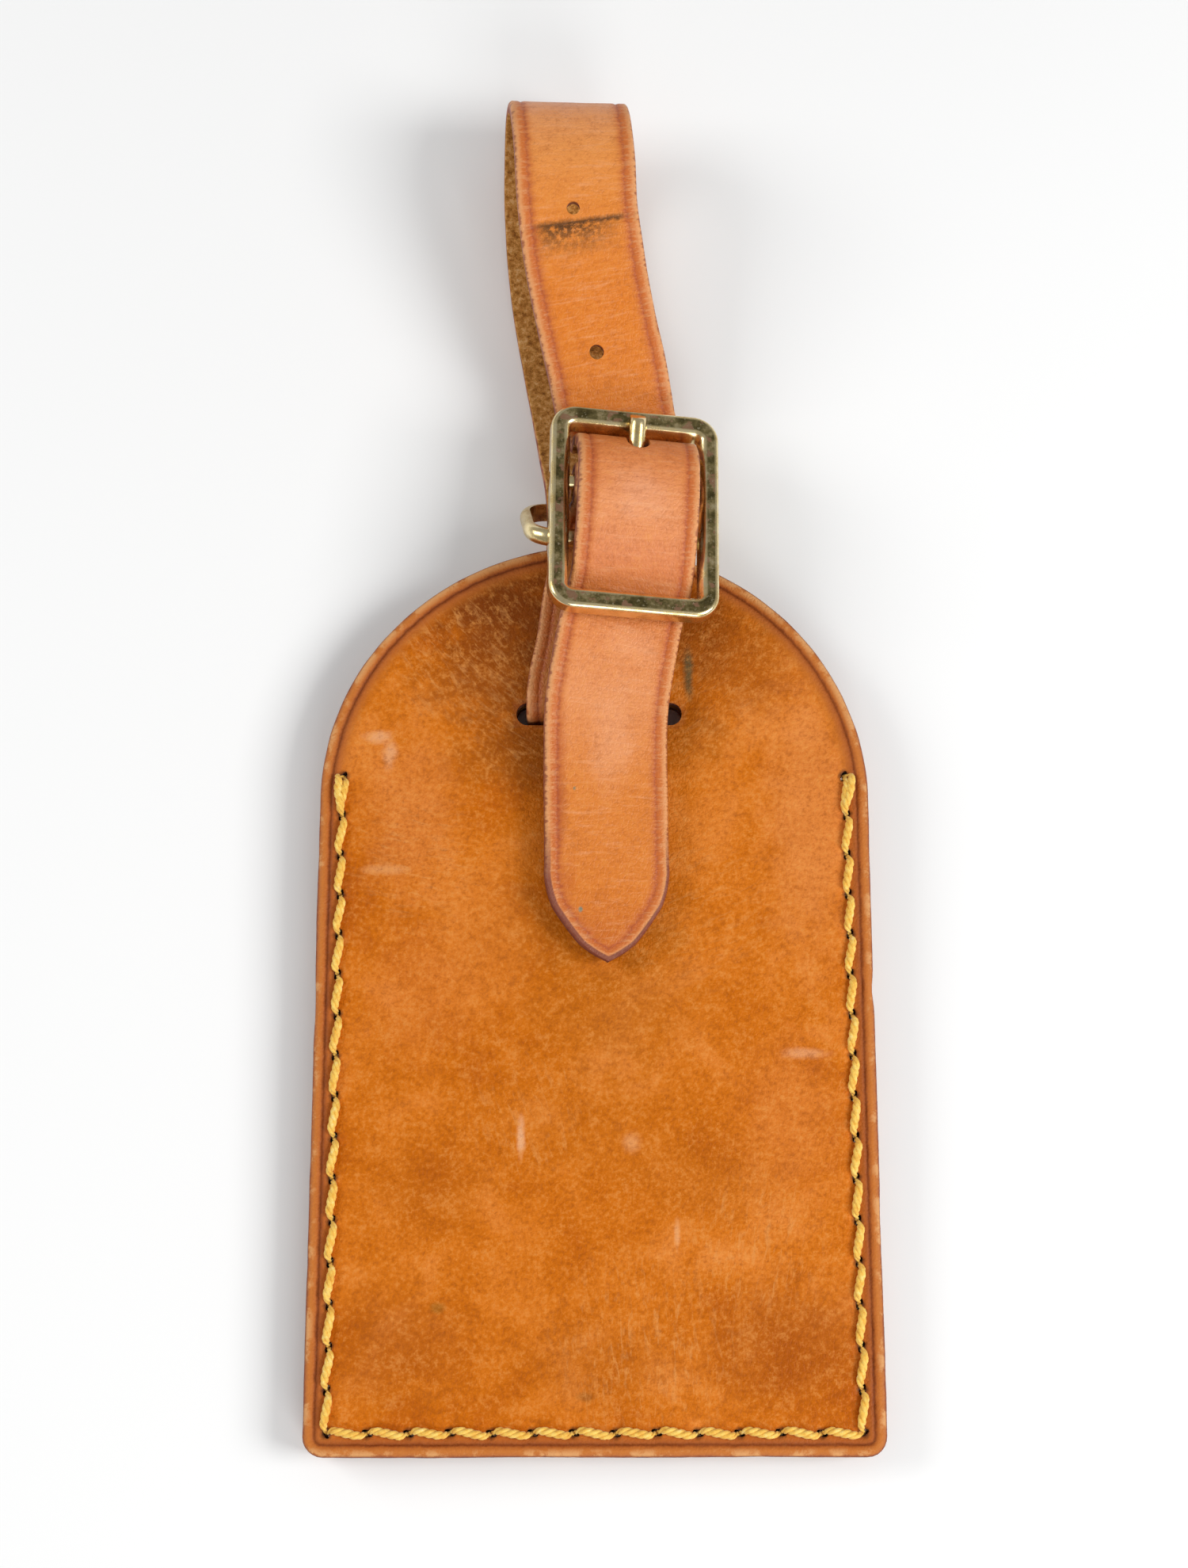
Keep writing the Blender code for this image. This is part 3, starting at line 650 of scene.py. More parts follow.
def strap(leather):
    """The strap, with its edge creases, its fold line and its punched holes."""
    route = smooth_route(strap_stations(), 0.62)
    route = route[:-8] + smooth_route(route[-8:], 0.16)
    places = [point.to_3d() for point in route]
    travelled = [0.0]
    for a, b in zip(places, places[1:]):
        travelled.append(travelled[-1] + (b - a).length)
    total = travelled[-1]
    front_leg = [index for index, place in enumerate(places) if place.z > 9.0 and place.y < 165.0]
    fold_at = total - travelled[min(front_leg, key=lambda index: abs(places[index].y - FOLD_Y))]
    rings = []
    marks = []
    for index, point in enumerate(route):
        before = places[max(0, index - 1)]
        after = places[min(len(places) - 1, index + 1)]
        tangent = (after - before).normalized()
        roll = math.radians(point.w)
        turn = Matrix.Rotation(FRAME_TURN * roll / FRAME_ROLL, 3, "Z")
        across = turn @ Vector((math.cos(roll), 0.0, -math.sin(roll)))
        across = (across - tangent * across.dot(tangent)).normalized()
        normal = tangent.cross(across)
        along = travelled[index]
        left = total - along
        blend = min(1.0, max(0.0, (along - 16.0) / 6.0))
        half_t = (FOLD_THICK + (STRAP_THICK - FOLD_THICK) * blend) / 2
        half_w = tip_half_width(left)
        slope = (tip_half_width(max(0.0, left - 0.3)) - tip_half_width(left + 0.3)) / 0.6
        if left > TIP_LENGTH:
            half_w += 0.06 * wave(along, 0.0, 2.0, 5.0) - 0.07
        ring = []
        for w, t in strap_profile(half_w, half_t):
            rim = (half_w - abs(w)) / math.sqrt(1.0 + slope * slope)
            fold = left - fold_at - 0.015 * w
            if t > half_t - 0.02:
                t -= 0.13 * bell(rim - STRAP_CREASE, 0.22)
                t -= 0.22 * bell(fold, 0.35)
                t += 0.02 * wave(w, along, 1.0, 2.2) - 0.03
            elif t < -half_t + 0.02:
                t += 0.05 + 0.05 * wave(w, along, 7.0, 0.9)
            ring.append(places[index] + across * w + normal * t)
            marks.append((rim, t / half_t, w, left, fold))
        rings.append(ring)
    bm = bmesh.new()
    sweep(bm, rings)
    obj = to_object("bridle_strap", bm)
    marked = searchable([point for ring in rings for point in ring])
    cut(obj, strap_cutters())
    nearest = [marks[marked.find(vertex.co)[1]] for vertex in obj.data.vertices]
    for name, values in zip(("rim", "side", "across", "left", "fold"), zip(*nearest)):
        write_attribute(obj, name, values)
    return finish(obj, leather, "strap", "strap", 60.0)


def round_cutter(bm, direction, place, radius, depth, segments=32):
    turn = direction.normalized().to_track_quat("Z", "Y").to_matrix().to_4x4()
    bmesh.ops.create_cone(bm, cap_ends=True, segments=segments, radius1=radius, radius2=radius,
                          depth=depth, matrix=Matrix.Translation(place) @ turn)


def strap_cutters():
    slit = bmesh.new()
    round_cutter(slit, FRAME_AXES.col[0], frame_point(0, BAR_V, BAR_N), SLIT_RADIUS, EYE_WIDTH + 0.8)
    hole = bmesh.new()
    axes = FRAME_AXES @ Matrix.Rotation(math.radians(-PRONG_HOLE_LEAN), 3, "X")
    turn = Matrix.Translation(frame_point(0.0, 8.75, 1.7)) @ axes.to_4x4()
    bmesh.ops.create_cube(hole, size=1.0, matrix=turn @ Matrix.Diagonal((3.0, 5.0, 5.0, 1.0)))
    upright = [edge for edge in hole.edges
               if abs((edge.verts[0].co - edge.verts[1].co).normalized().dot(axes.col[2])) > 0.9]
    rounded(hole, upright, 1.35, 6)
    spare = bmesh.new()
    for direction, place, radius in SPARE_HOLES:
        round_cutter(spare, Vector(direction), Vector(place), radius, 6.0)
    return [to_object("eye_slit_cutter", slit), to_object("prong_hole_cutter", hole),
            to_object("punch_cutter", spare)]


# ---------------------------------------------------------------- metal
def rounded_loop(width, height, corner, steps, side_steps):
    """Points round a rounded rectangle as (x, y, outward direction)."""
    points = []
    for quarter in range(4):
        sx = 1 if quarter in (0, 3) else -1
        sy = 1 if quarter in (0, 1) else -1
        for i in range(steps + 1):
            angle = quarter * math.pi / 2 + i * math.pi / (2 * steps)
            out = Vector((math.cos(angle), math.sin(angle)))
            points.append((sx * (width / 2 - corner) + corner * out.x,
                           sy * (height / 2 - corner) + corner * out.y, out))
        length = height - 2 * corner if quarter in (1, 3) else width - 2 * corner
        start = points[-1]
        way = Vector((-start[2].y, start[2].x))
        for i in range(1, side_steps):
            reach = length * i / side_steps
            points.append((start[0] + way.x * reach, start[1] + way.y * reach, start[2]))
    return points


def bar_section(bar, thick):
    """A bar's section, flat on top with worn shoulders, as (outwards, up, flat)."""
    section = []
    for quarter, wide, deep in BAR_CORNERS:
        sx = 1 if quarter in (0, 3) else -1
        sy = 1 if quarter in (0, 1) else -1
        for i in range(9):
            angle = quarter * math.pi / 2 + i * math.pi / 16
            across = sx * (bar / 2 - wide) + wide * math.cos(angle)
            up = sy * (thick / 2 - deep) + deep * math.sin(angle)
            section.append((across, up, 1.0 if up > thick / 2 - 0.01 else 0.0))
    return section


def buckle_frame(brass):
    rings = []
    flats = []
    for x, y, out in rounded_loop(FRAME_WIDTH, FRAME_LENGTH, FRAME_CORNER, 12, 8):
        bar = SIDE_BAR + (END_BAR - SIDE_BAR) * abs(out.y)
        ring = []
        for across, up, flat in bar_section(bar, FRAME_THICK):
            inward = across - bar / 2
            ring.append(frame_point(x + out.x * inward, y + out.y * inward, up))
            flats.append(flat)
        rings.append(ring)
    bm = bmesh.new()
    sweep(bm, rings, closed=True)
    obj = to_object("cast_buckle", bm)
    marked = searchable([point for ring in rings for point in ring])
    hole = bmesh.new()
    round_cutter(hole, FRAME_AXES.col[0], frame_point(0.0, BAR_V, BAR_N), BAR_RADIUS + BAR_FIT,
                 FRAME_WIDTH + 4)
    cut(obj, [to_object("bar_hole_cutter", hole)])
    write_attribute(obj, "flat", [flats[marked.find(vertex.co)[1]] for vertex in obj.data.vertices])
    return finish(obj, brass, "buckle", "buckle_frame", 45.0)


def centre_bar(brass):
    bm = bmesh.new()
    round_cutter(bm, FRAME_AXES.col[0], frame_point(0.0, BAR_V, BAR_N), BAR_RADIUS, FRAME_WIDTH - 0.4)
    ends = [edge for edge in bm.edges if len([f for f in edge.link_faces if len(f.verts) > 4]) == 1]
    rounded(bm, ends, 0.3, 3)
    return finish(to_object("hinge_pin", bm), brass, "buckle", "centre_bar", 40.0)


def prong(brass):
    """A round wire with a flattened eye on the centre bar and an end cut at a slant."""
    middle = (EYE_INNER + EYE_OUTER) / 2
    wall = EYE_OUTER - EYE_INNER
    stations = []
    for i in range(13):
        degrees = 50 - i * 27
        angle = math.radians(degrees)
        stations.append(Vector((BAR_V + middle * math.cos(angle), BAR_N + middle * math.sin(angle),
                                degrees, EYE_WIDTH / 2, wall / 2)))
    for v, n, degrees, half_u, half_n in ((4.0, 1.17, 90, EYE_WIDTH / 2, 0.65), (6.4, 1.2, 92, 1.2, 0.7),
                                          (8.2, 1.5, 103, 1.1, 0.9), (10.2, 2.1, 105, 1.1, 1.05),
                                          (11.4, 2.5, 102, 1.1, 1.1), (*PRONG_TIP, 128, 1.05, 1.3)):
        stations.append(Vector((v, n, degrees - 360, half_u, half_n)))
    rings = []
    for index in range(len(stations) - 1):
        for i in range(3):
            rings.append(wire_ring(between(stations, index, i / 3)))
    rings.append(wire_ring(stations[-1]))
    bm = bmesh.new()
    sweep(bm, rings)
    tip = frame_point(0.0, *PRONG_TIP)
    ends = [edge for edge in bm.edges if any(len(face.verts) > 4 for face in edge.link_faces)
            and (edge.verts[0].co - tip).length < 2.0]
    rounded(bm, ends, 0.16, 3)
    return finish(to_object("drawn_prong", bm), brass, "prong", "prong", 45.0)


def wire_ring(station, count=20):
    """A section of the prong's wire: half_n is measured along the station's angle."""
    v, n, degrees, half_u, half_n = station
    angle = math.radians(degrees)
    ring = []
    for i in range(count):
        turn = 2 * math.pi * (i + 0.5) / count
        out = half_n * math.sin(turn)
        ring.append(frame_point(half_u * math.cos(turn), v + out * math.cos(angle),
                                n + out * math.sin(angle)))
    return ring


def keeper_ring(brass):
    """A closed band of half-round wire, leaning back with the strap's front layer."""
    width = RING_INNER[0] + 2 * RING_WALL
    height = RING_INNER[1] + 2 * RING_WALL
    rings = []
    for x, z, out in rounded_loop(width, height, RING_CORNER, 10, 6):
        ring = []
        for i in range(17):
            angle = math.pi * i / 16
            ring.append((RING_WALL * (1 - math.sin(angle) ** 0.85), RING_BAND / 2 * math.cos(angle)))
        for share in (-0.6, 0.0, 0.6):
            ring.append((RING_WALL, share * RING_BAND / 2))
        rings.append([RING_CENTRE + RING_AXES @ Vector((x - out.x * depth, y, z - out.y * depth))
                      for depth, y in ring])
    bm = bmesh.new()
    sweep(bm, rings, closed=True)
    return finish(to_object("keeper_band", bm), brass, "keeper", "keeper_ring", 45.0)


# ---------------------------------------------------------------- material helpers
MIX_A = 6                            # the colour sockets of a Mix node set to colours
MIX_B = 7


def linear(hex_colour):
    """An sRGB hex colour as linear RGBA."""
    channels = [int(hex_colour[i:i + 2], 16) / 255 for i in (1, 3, 5)]
    return tuple(c / 12.92 if c <= 0.04045 else ((c + 0.055) / 1.055) ** 2.4
                 for c in channels) + (1.0,)


def connect(tree, made, inputs):
    """Set a node's inputs, each to a value, a hex colour, a socket or a node's first live output."""
    for name, value in inputs.items():
        if isinstance(value, bpy.types.Node):
            value = next(socket for socket in value.outputs if socket.enabled)
        if isinstance(value, bpy.types.NodeSocket):
            tree.links.new(value, made.inputs[name])
        else:
            made.inputs[name].default_value = linear(value) if isinstance(value, str) else value


def node(tree, kind, inputs=None, ramp=None, span=None, **settings):
    """Add a node. A span is what a range maps from and, where it isn't 0 to 1, what it maps to."""
    made = tree.nodes.new("ShaderNode" + kind)
    for name, value in settings.items():
        setattr(made, name, value)
    connect(tree, made, inputs or {})
    connect(tree, made, dict(zip(("From Min", "From Max", "To Min", "To Max"), span or ())))
    if ramp:
        stops = made.color_ramp.elements
        while len(stops) < len(ramp):
            stops.new(1.0)
        for stop, (position, colour) in zip(stops, ramp):
            stop.position = position
            stop.color = linear(colour)
    return made


def painted(tree, names):
    """The values that the mesh carries under these names."""
    return [node(tree, "Attribute", attribute_name=name).outputs["Fac"] for name in names]


def new_material(name):
    """A material, its node tree and its Principled shader."""
    made = bpy.data.materials.new(name)
    made.use_nodes = True
    tree = made.node_tree
    return made, tree, tree.nodes["Principled BSDF"]


def object_place(tree):
    """Object coordinates in millimetres."""
    coordinates = node(tree, "TexCoord")
    return node(tree, "VectorMath", {0: coordinates.outputs["Object"], 3: 1 / MM}, operation="SCALE")


def stains_and_painted_light(tree, place, colour, spots, y_shift):
    """Tint the colour in soft-edged spots of (x, y, half width, half height, strength, hex)."""
    ragged = node(tree, "TexNoise", {"Vector": place, "Scale": 0.35, "Detail": 6.0, "Roughness": 0.65})
    for x, y, wide, high, strength, tint in spots:
        moved = node(tree, "VectorMath", {0: place, 1: (x, y - y_shift, 0.0)}, operation="SUBTRACT")
        shaped = node(tree, "VectorMath", {0: moved, 1: (1 / wide, 1 / high, 0.0)}, operation="MULTIPLY")
        reach = node(tree, "VectorMath", {0: shaped}, operation="LENGTH")
        wander = node(tree, "Math", {0: ragged, 1: 1.2, 2: reach.outputs["Value"]},
                      operation="MULTIPLY_ADD")
        share = node(tree, "MapRange", {"Value": wander}, span=(0.80, 1.65, strength, 0.0),
                     interpolation_type="SMOOTHSTEP")
        colour = node(tree, "Mix", {0: share, MIX_A: colour, MIX_B: tint}, data_type="RGBA")
    return colour


def wrinkled(tree, place, colour, wrinkles, y_shift):
    """Light broken wrinkles in patches of (x, y, reach, degrees across, strength)."""
    for x, y, wide, degrees, strength in wrinkles:
        moved = node(tree, "VectorMath", {0: place, 1: (x, y - y_shift, 0.0)}, operation="SUBTRACT")
        turned = node(tree, "Mapping",
                      {"Vector": moved, "Rotation": (0.0, 0.0, math.radians(degrees)),
                       "Scale": (1.0, 4.5, 1.0)}, vector_type="TEXTURE")
        lines = node(tree, "TexNoise",
                     {"Vector": turned, "Scale": 1.6, "Detail": 4.0, "Roughness": 0.65,
                      "Distortion": 0.8})
        ridges = node(tree, "MapRange", {"Value": lines}, span=(0.52, 0.68))
        flat = node(tree, "VectorMath", {0: moved, 1: (1.0, 1.0, 0.0)}, operation="MULTIPLY")
        reach = node(tree, "VectorMath", {0: flat}, operation="LENGTH")
        near = node(tree, "MapRange", {"Value": reach.outputs["Value"]},
                    span=(wide * 0.3, wide, strength, 0.0), interpolation_type="SMOOTHSTEP")
        share = node(tree, "Math", {0: ridges, 1: near}, operation="MULTIPLY")
        colour = node(tree, "Mix", {0: share, MIX_A: colour, MIX_B: "#DC9A56"}, data_type="RGBA")
    return colour


def grained(tree, place, colour, strength):
    """Leather grain: pores between light pebbles, and its height for the bump.

    The real grain is finer than would show, so the pebbles are drawn 0.55 mm across.
    """
    cells = node(tree, "TexVoronoi", {"Vector": place, "Scale": 1 / 0.55}, feature="DISTANCE_TO_EDGE")
    pebble = node(tree, "MapRange", {"Value": cells}, span=(0.0, 0.2))
    fine = node(tree, "TexNoise", {"Vector": place, "Scale": 1 / 0.62, "Detail": 4.0, "Roughness": 0.7})
    broad = node(tree, "TexNoise",
                 {"Vector": place, "Scale": 1 / 3.2, "Detail": 4.0, "Roughness": 0.6, "Distortion": 0.4})
    mixed = node(tree, "Math", {0: broad, 1: 0.45, 2: fine}, operation="MULTIPLY_ADD")
    light = node(tree, "MapRange", {"Value": mixed}, span=(0.73, 0.92, 0.0, strength))
    dark = node(tree, "MapRange", {"Value": mixed}, span=(0.53, 0.72, strength, 0.0))
    colour = node(tree, "Mix", {0: light, MIX_A: colour, MIX_B: "#E69A4C"}, data_type="RGBA")
    colour = node(tree, "Mix", {0: dark, MIX_A: colour, MIX_B: "#8A4004"}, data_type="RGBA")
    height = node(tree, "Math", {0: pebble, 1: 0.5, 2: mixed}, operation="MULTIPLY_ADD")
    return colour, height


def banded(tree, place, colour, rim, band, reach, width):
    """The creased and burnished bands beside a cut edge, whose inner border wanders."""
    ragged = node(tree, "TexNoise", {"Vector": place, "Scale": 0.9, "Detail": 5.0, "Roughness": 0.7})
    strayed = node(tree, "Math", {0: ragged, 1: 0.5, 2: rim}, operation="MULTIPLY_ADD")
    spot = node(tree, "Math", {0: strayed, 1: 0.25}, operation="SUBTRACT")
    scaled = node(tree, "Math", {0: spot, 1: 1 / reach}, operation="MULTIPLY")
    bands = node(tree, "ValToRGB", {"Fac": scaled}, ramp=band)
    share = node(tree, "MapRange", {"Value": spot}, span=(width, reach, 0.88, 0.0),
                 interpolation_type="SMOOTHSTEP")
    return node(tree, "Mix", {0: share, MIX_A: colour, MIX_B: bands}, data_type="RGBA")


def worn(tree, place, colour, rim, reach, tint, amount, extra=0.0):
    """Rubbed patches along a cut edge, where the finish has gone; extra widens them."""
    patches = node(tree, "TexNoise", {"Vector": place, "Scale": 0.33, "Detail": 7.0, "Roughness": 0.68})
    spread = node(tree, "Math", {0: patches, 1: extra}, operation="ADD")
    edge = node(tree, "MapRange", {"Value": rim}, span=(reach * 0.4, reach, amount, 0.0))
    rolled = node(tree, "MapRange", {"Value": rim}, span=(0.12, 0.34))
    rubbed = node(tree, "MapRange", {"Value": spread}, span=(0.49, 0.57))
    kept = node(tree, "Math", {0: edge, 1: rolled}, operation="MULTIPLY")
    share = node(tree, "Math", {0: kept, 1: rubbed}, operation="MULTIPLY")
    return node(tree, "Mix", {0: share, MIX_A: colour, MIX_B: tint}, data_type="RGBA")


# ---------------------------------------------------------------- materials
PANEL_SPOTS = (
    # x, y, half width, half height, strength, tint
    # the first six rows darken the leather round the slot: partly patina, partly painted shadow of the
    # strap and buckle
    (-12, 105, 14, 10, 0.9, "#743200"), (-12, 96, 13, 9, 0.75, "#884000"),
    (-9, 86, 12, 7, 0.7, "#904800"), (12, 104, 10, 11, 0.8, "#7C3A00"),
    (18, 97, 11, 10, 0.55, "#A05008"), (11, 88, 8, 6, 0.5, "#9A5000"),
    (0, 64, 15, 9, 0.6, "#A85A00"), (2, 54, 15, 11, 0.5, "#B25E00"),
    (0, 40, 18, 10, 0.3, "#BC6400"), (-20, 32, 10, 8, 0.3, "#B05A04"),
    (-24, 13, 13, 9, 0.55, "#A85000"), (24, 13, 15, 10, 0.6, "#A04A00"),
    (0, 11, 14, 7, 0.4, "#B05A04"), (14, 33, 12, 7, 0.3, "#B05C06"),
    (27, 78, 8, 26, 0.4, "#E08C4C"), (-23, 78, 8, 14, 0.35, "#DE8646"),
    (-14, 62, 9, 14, 0.3, "#DC8236"), (-22, 56, 9, 12, 0.3, "#D87A34"),
    (24, 40, 9, 14, 0.3, "#DC803C"), (12, 96.5, 0.9, 4.6, 0.9, "#5E5434"),
    (-27.2, 88.0, 2.4, 1.2, 0.6, "#EAB080"), (-25.6, 86.0, 1.3, 2.6, 0.6, "#EAB080"),
    (-9, 38, 0.7, 3.4, 0.7, "#EFB98C"),
    (4.5, 37.2, 1.5, 1.9, 0.5, "#EBAA70"), (26, 48, 4.2, 1.0, 0.5, "#EAAC7C"),
    (10, 26, 0.5, 2.6, 0.55, "#EAAE78"), (-26, 71, 4.0, 0.9, 0.45, "#E6A86C"),
    (-19, 17.5, 1.2, 0.9, 0.6, "#8A5A14"), (-1, 7, 1.6, 0.8, 0.5, "#7C4A18"),
)
PANEL_WRINKLES = (
    # x, y, reach, degrees, strength
    (-15, 99, 16, 40, 0.45), (-9, 90, 11, 62, 0.4), (14, 92, 10, -50, 0.3),
    (6, 13, 16, 3, 0.45), (19, 24, 13, -10, 0.4), (-22, 72, 13, 80, 0.35),
    (-8, 40, 12, 20, 0.3), (12, 66, 14, -65, 0.3),
)


def waxed_bridle_leather(name, front):
    """Vegetable-tanned panel leather, rolled, waxed and handled: a warm tan, darker round the slot, partly
    patina and partly painted shadow of the strap and buckle, darker too round the strap's tip, and fine
    light wrinkles across the grain."""
    made, tree, shader = new_material(name)
    place = object_place(tree)
    rim, depth, hole = painted(tree, ("rim", "depth", "hole"))
    cloud = node(tree, "TexNoise",
                 {"Vector": place, "Scale": 1 / 11.0, "Detail": 5.0, "Roughness": 0.62,
                  "Distortion": 0.4})
    colour = node(tree, "ValToRGB", {"Fac": cloud},
                  ramp=((0.30, "#B85A00"), (0.45, "#C86800"), (0.55, "#D07010"), (0.72, "#DC8030")))
    if front:
        # stains and scratches, with painted shadow of the strap and buckle round the slot
        colour = stains_and_painted_light(tree, place, colour, PANEL_SPOTS, ORIGIN.y)
        colour = wrinkled(tree, place, colour, PANEL_WRINKLES, ORIGIN.y)
    colour, height = grained(tree, place, colour, 0.42)
    colour = banded(tree, place, colour, rim,
                    ((0.0, "#6A3830"), (0.05, "#8A4C34"), (0.10, "#B86E38"), (0.20, "#C27434"),
                     (0.32, "#B4642A"), (0.375, "#84401C"), (0.41, "#6C300F"), (0.46, "#984E22"),
                     (0.56, "#B06028"), (0.75, "#BA6822"), (1.0, "#C06810")),
                    3.8, 2.0)
    split = node(tree, "SeparateXYZ", {0: place})
    arch = node(tree, "MapRange", {"Value": split.outputs["Y"]}, span=(-4.0, 12.0, -0.03, 0.08))
    foot = node(tree, "MapRange", {"Value": split.outputs["Y"]}, span=(-85.5, -84.5, 0.03, 0.0))
    extra = node(tree, "Math", {0: arch, 1: foot}, operation="ADD")
    colour = worn(tree, place, colour, rim, 1.2, "#DCA268", 0.8, extra)

    # painted shade: the leather is darkened in and round the stitch holes
    painted_hole_shade = node(tree, "MapRange", {"Value": hole}, span=(0.40, 0.95, 0.95, 0.0))
    colour = node(tree, "Mix", {0: painted_hole_shade, MIX_A: colour, MIX_B: "#2C1204"}, data_type="RGBA")

    # the cut wall is burnished to a purple brown, and the inner face is bare flesh
    wall = node(tree, "MapRange", {"Value": depth}, span=(0.12, 0.24))
    wall_cloud = node(tree, "TexNoise", {"Vector": place, "Scale": 0.7, "Detail": 6.0, "Roughness": 0.65})
    wall_colour = node(tree, "ValToRGB", {"Fac": wall_cloud},
                       ramp=((0.36, "#4E2A26"), (0.48, "#73443A"), (0.58, "#9A6246"), (0.70, "#C49468")))
    colour = node(tree, "Mix", {0: wall, MIX_A: colour, MIX_B: wall_colour}, data_type="RGBA")
    inner = node(tree, "MapRange", {"Value": depth}, span=(0.70, 0.76))
    deep = node(tree, "MapRange", {"Value": rim}, span=(0.15, 0.6))
    flesh = node(tree, "Math", {0: inner, 1: deep}, operation="MULTIPLY")
    colour = node(tree, "Mix", {0: flesh, MIX_A: colour, MIX_B: "#A8743E"}, data_type="RGBA")

    gloss = node(tree, "MapRange", {"Value": cloud}, span=(0.3, 0.7, 0.42, 0.58))
    bump = node(tree, "Bump", {"Height": height, "Strength": 0.45, "Distance": 0.00014})
    connect(tree, shader, {"Base Color": colour, "Roughness": gloss, "Normal": bump,
                           "Specular IOR Level": 0.13})
    return made


TONES_SPAN = 160.0                   # millimetres of strap, from the tip, that its tones are spread over
TONES_SHIFT = 3.2                    # and how far the cloudy noise moves them on average
STRAP_SPOTS = (
    # across, from the tip, half width, half length, strength, tint
    (-6.2, 19, 1.7, 6.5, 0.75, "#A0441A"), (-5.8, 27, 1.2, 5.0, 0.5, "#B85A2C"),
    (-5.0, 10, 1.5, 4.0, 0.4, "#B4541E"), (0.5, 28, 3.6, 9.0, 0.4, "#EBA476"),
    (2.0, 40, 5.0, 3.0, 0.4, "#EAA274"), (-3.4, 6.4, 0.42, 0.5, 0.9, "#3C7C74"),
    (-4.0, 21.5, 0.3, 0.35, 0.7, "#4C7C6C"), (0.0, 59, 5.0, 4.0, 0.4, "#EDA882"),
    # the pale spot 59 mm from the tip is a painted highlight on the hump over the centre bar, and the dark
    # one at 67 mm is painted shade where the strap dips round the prong under the top bar
    (-5.8, 62, 1.0, 5.0, 0.5, "#B85A34"), (0.0, 67, 6.0, 2.5, 0.4, "#C0682C"),
)


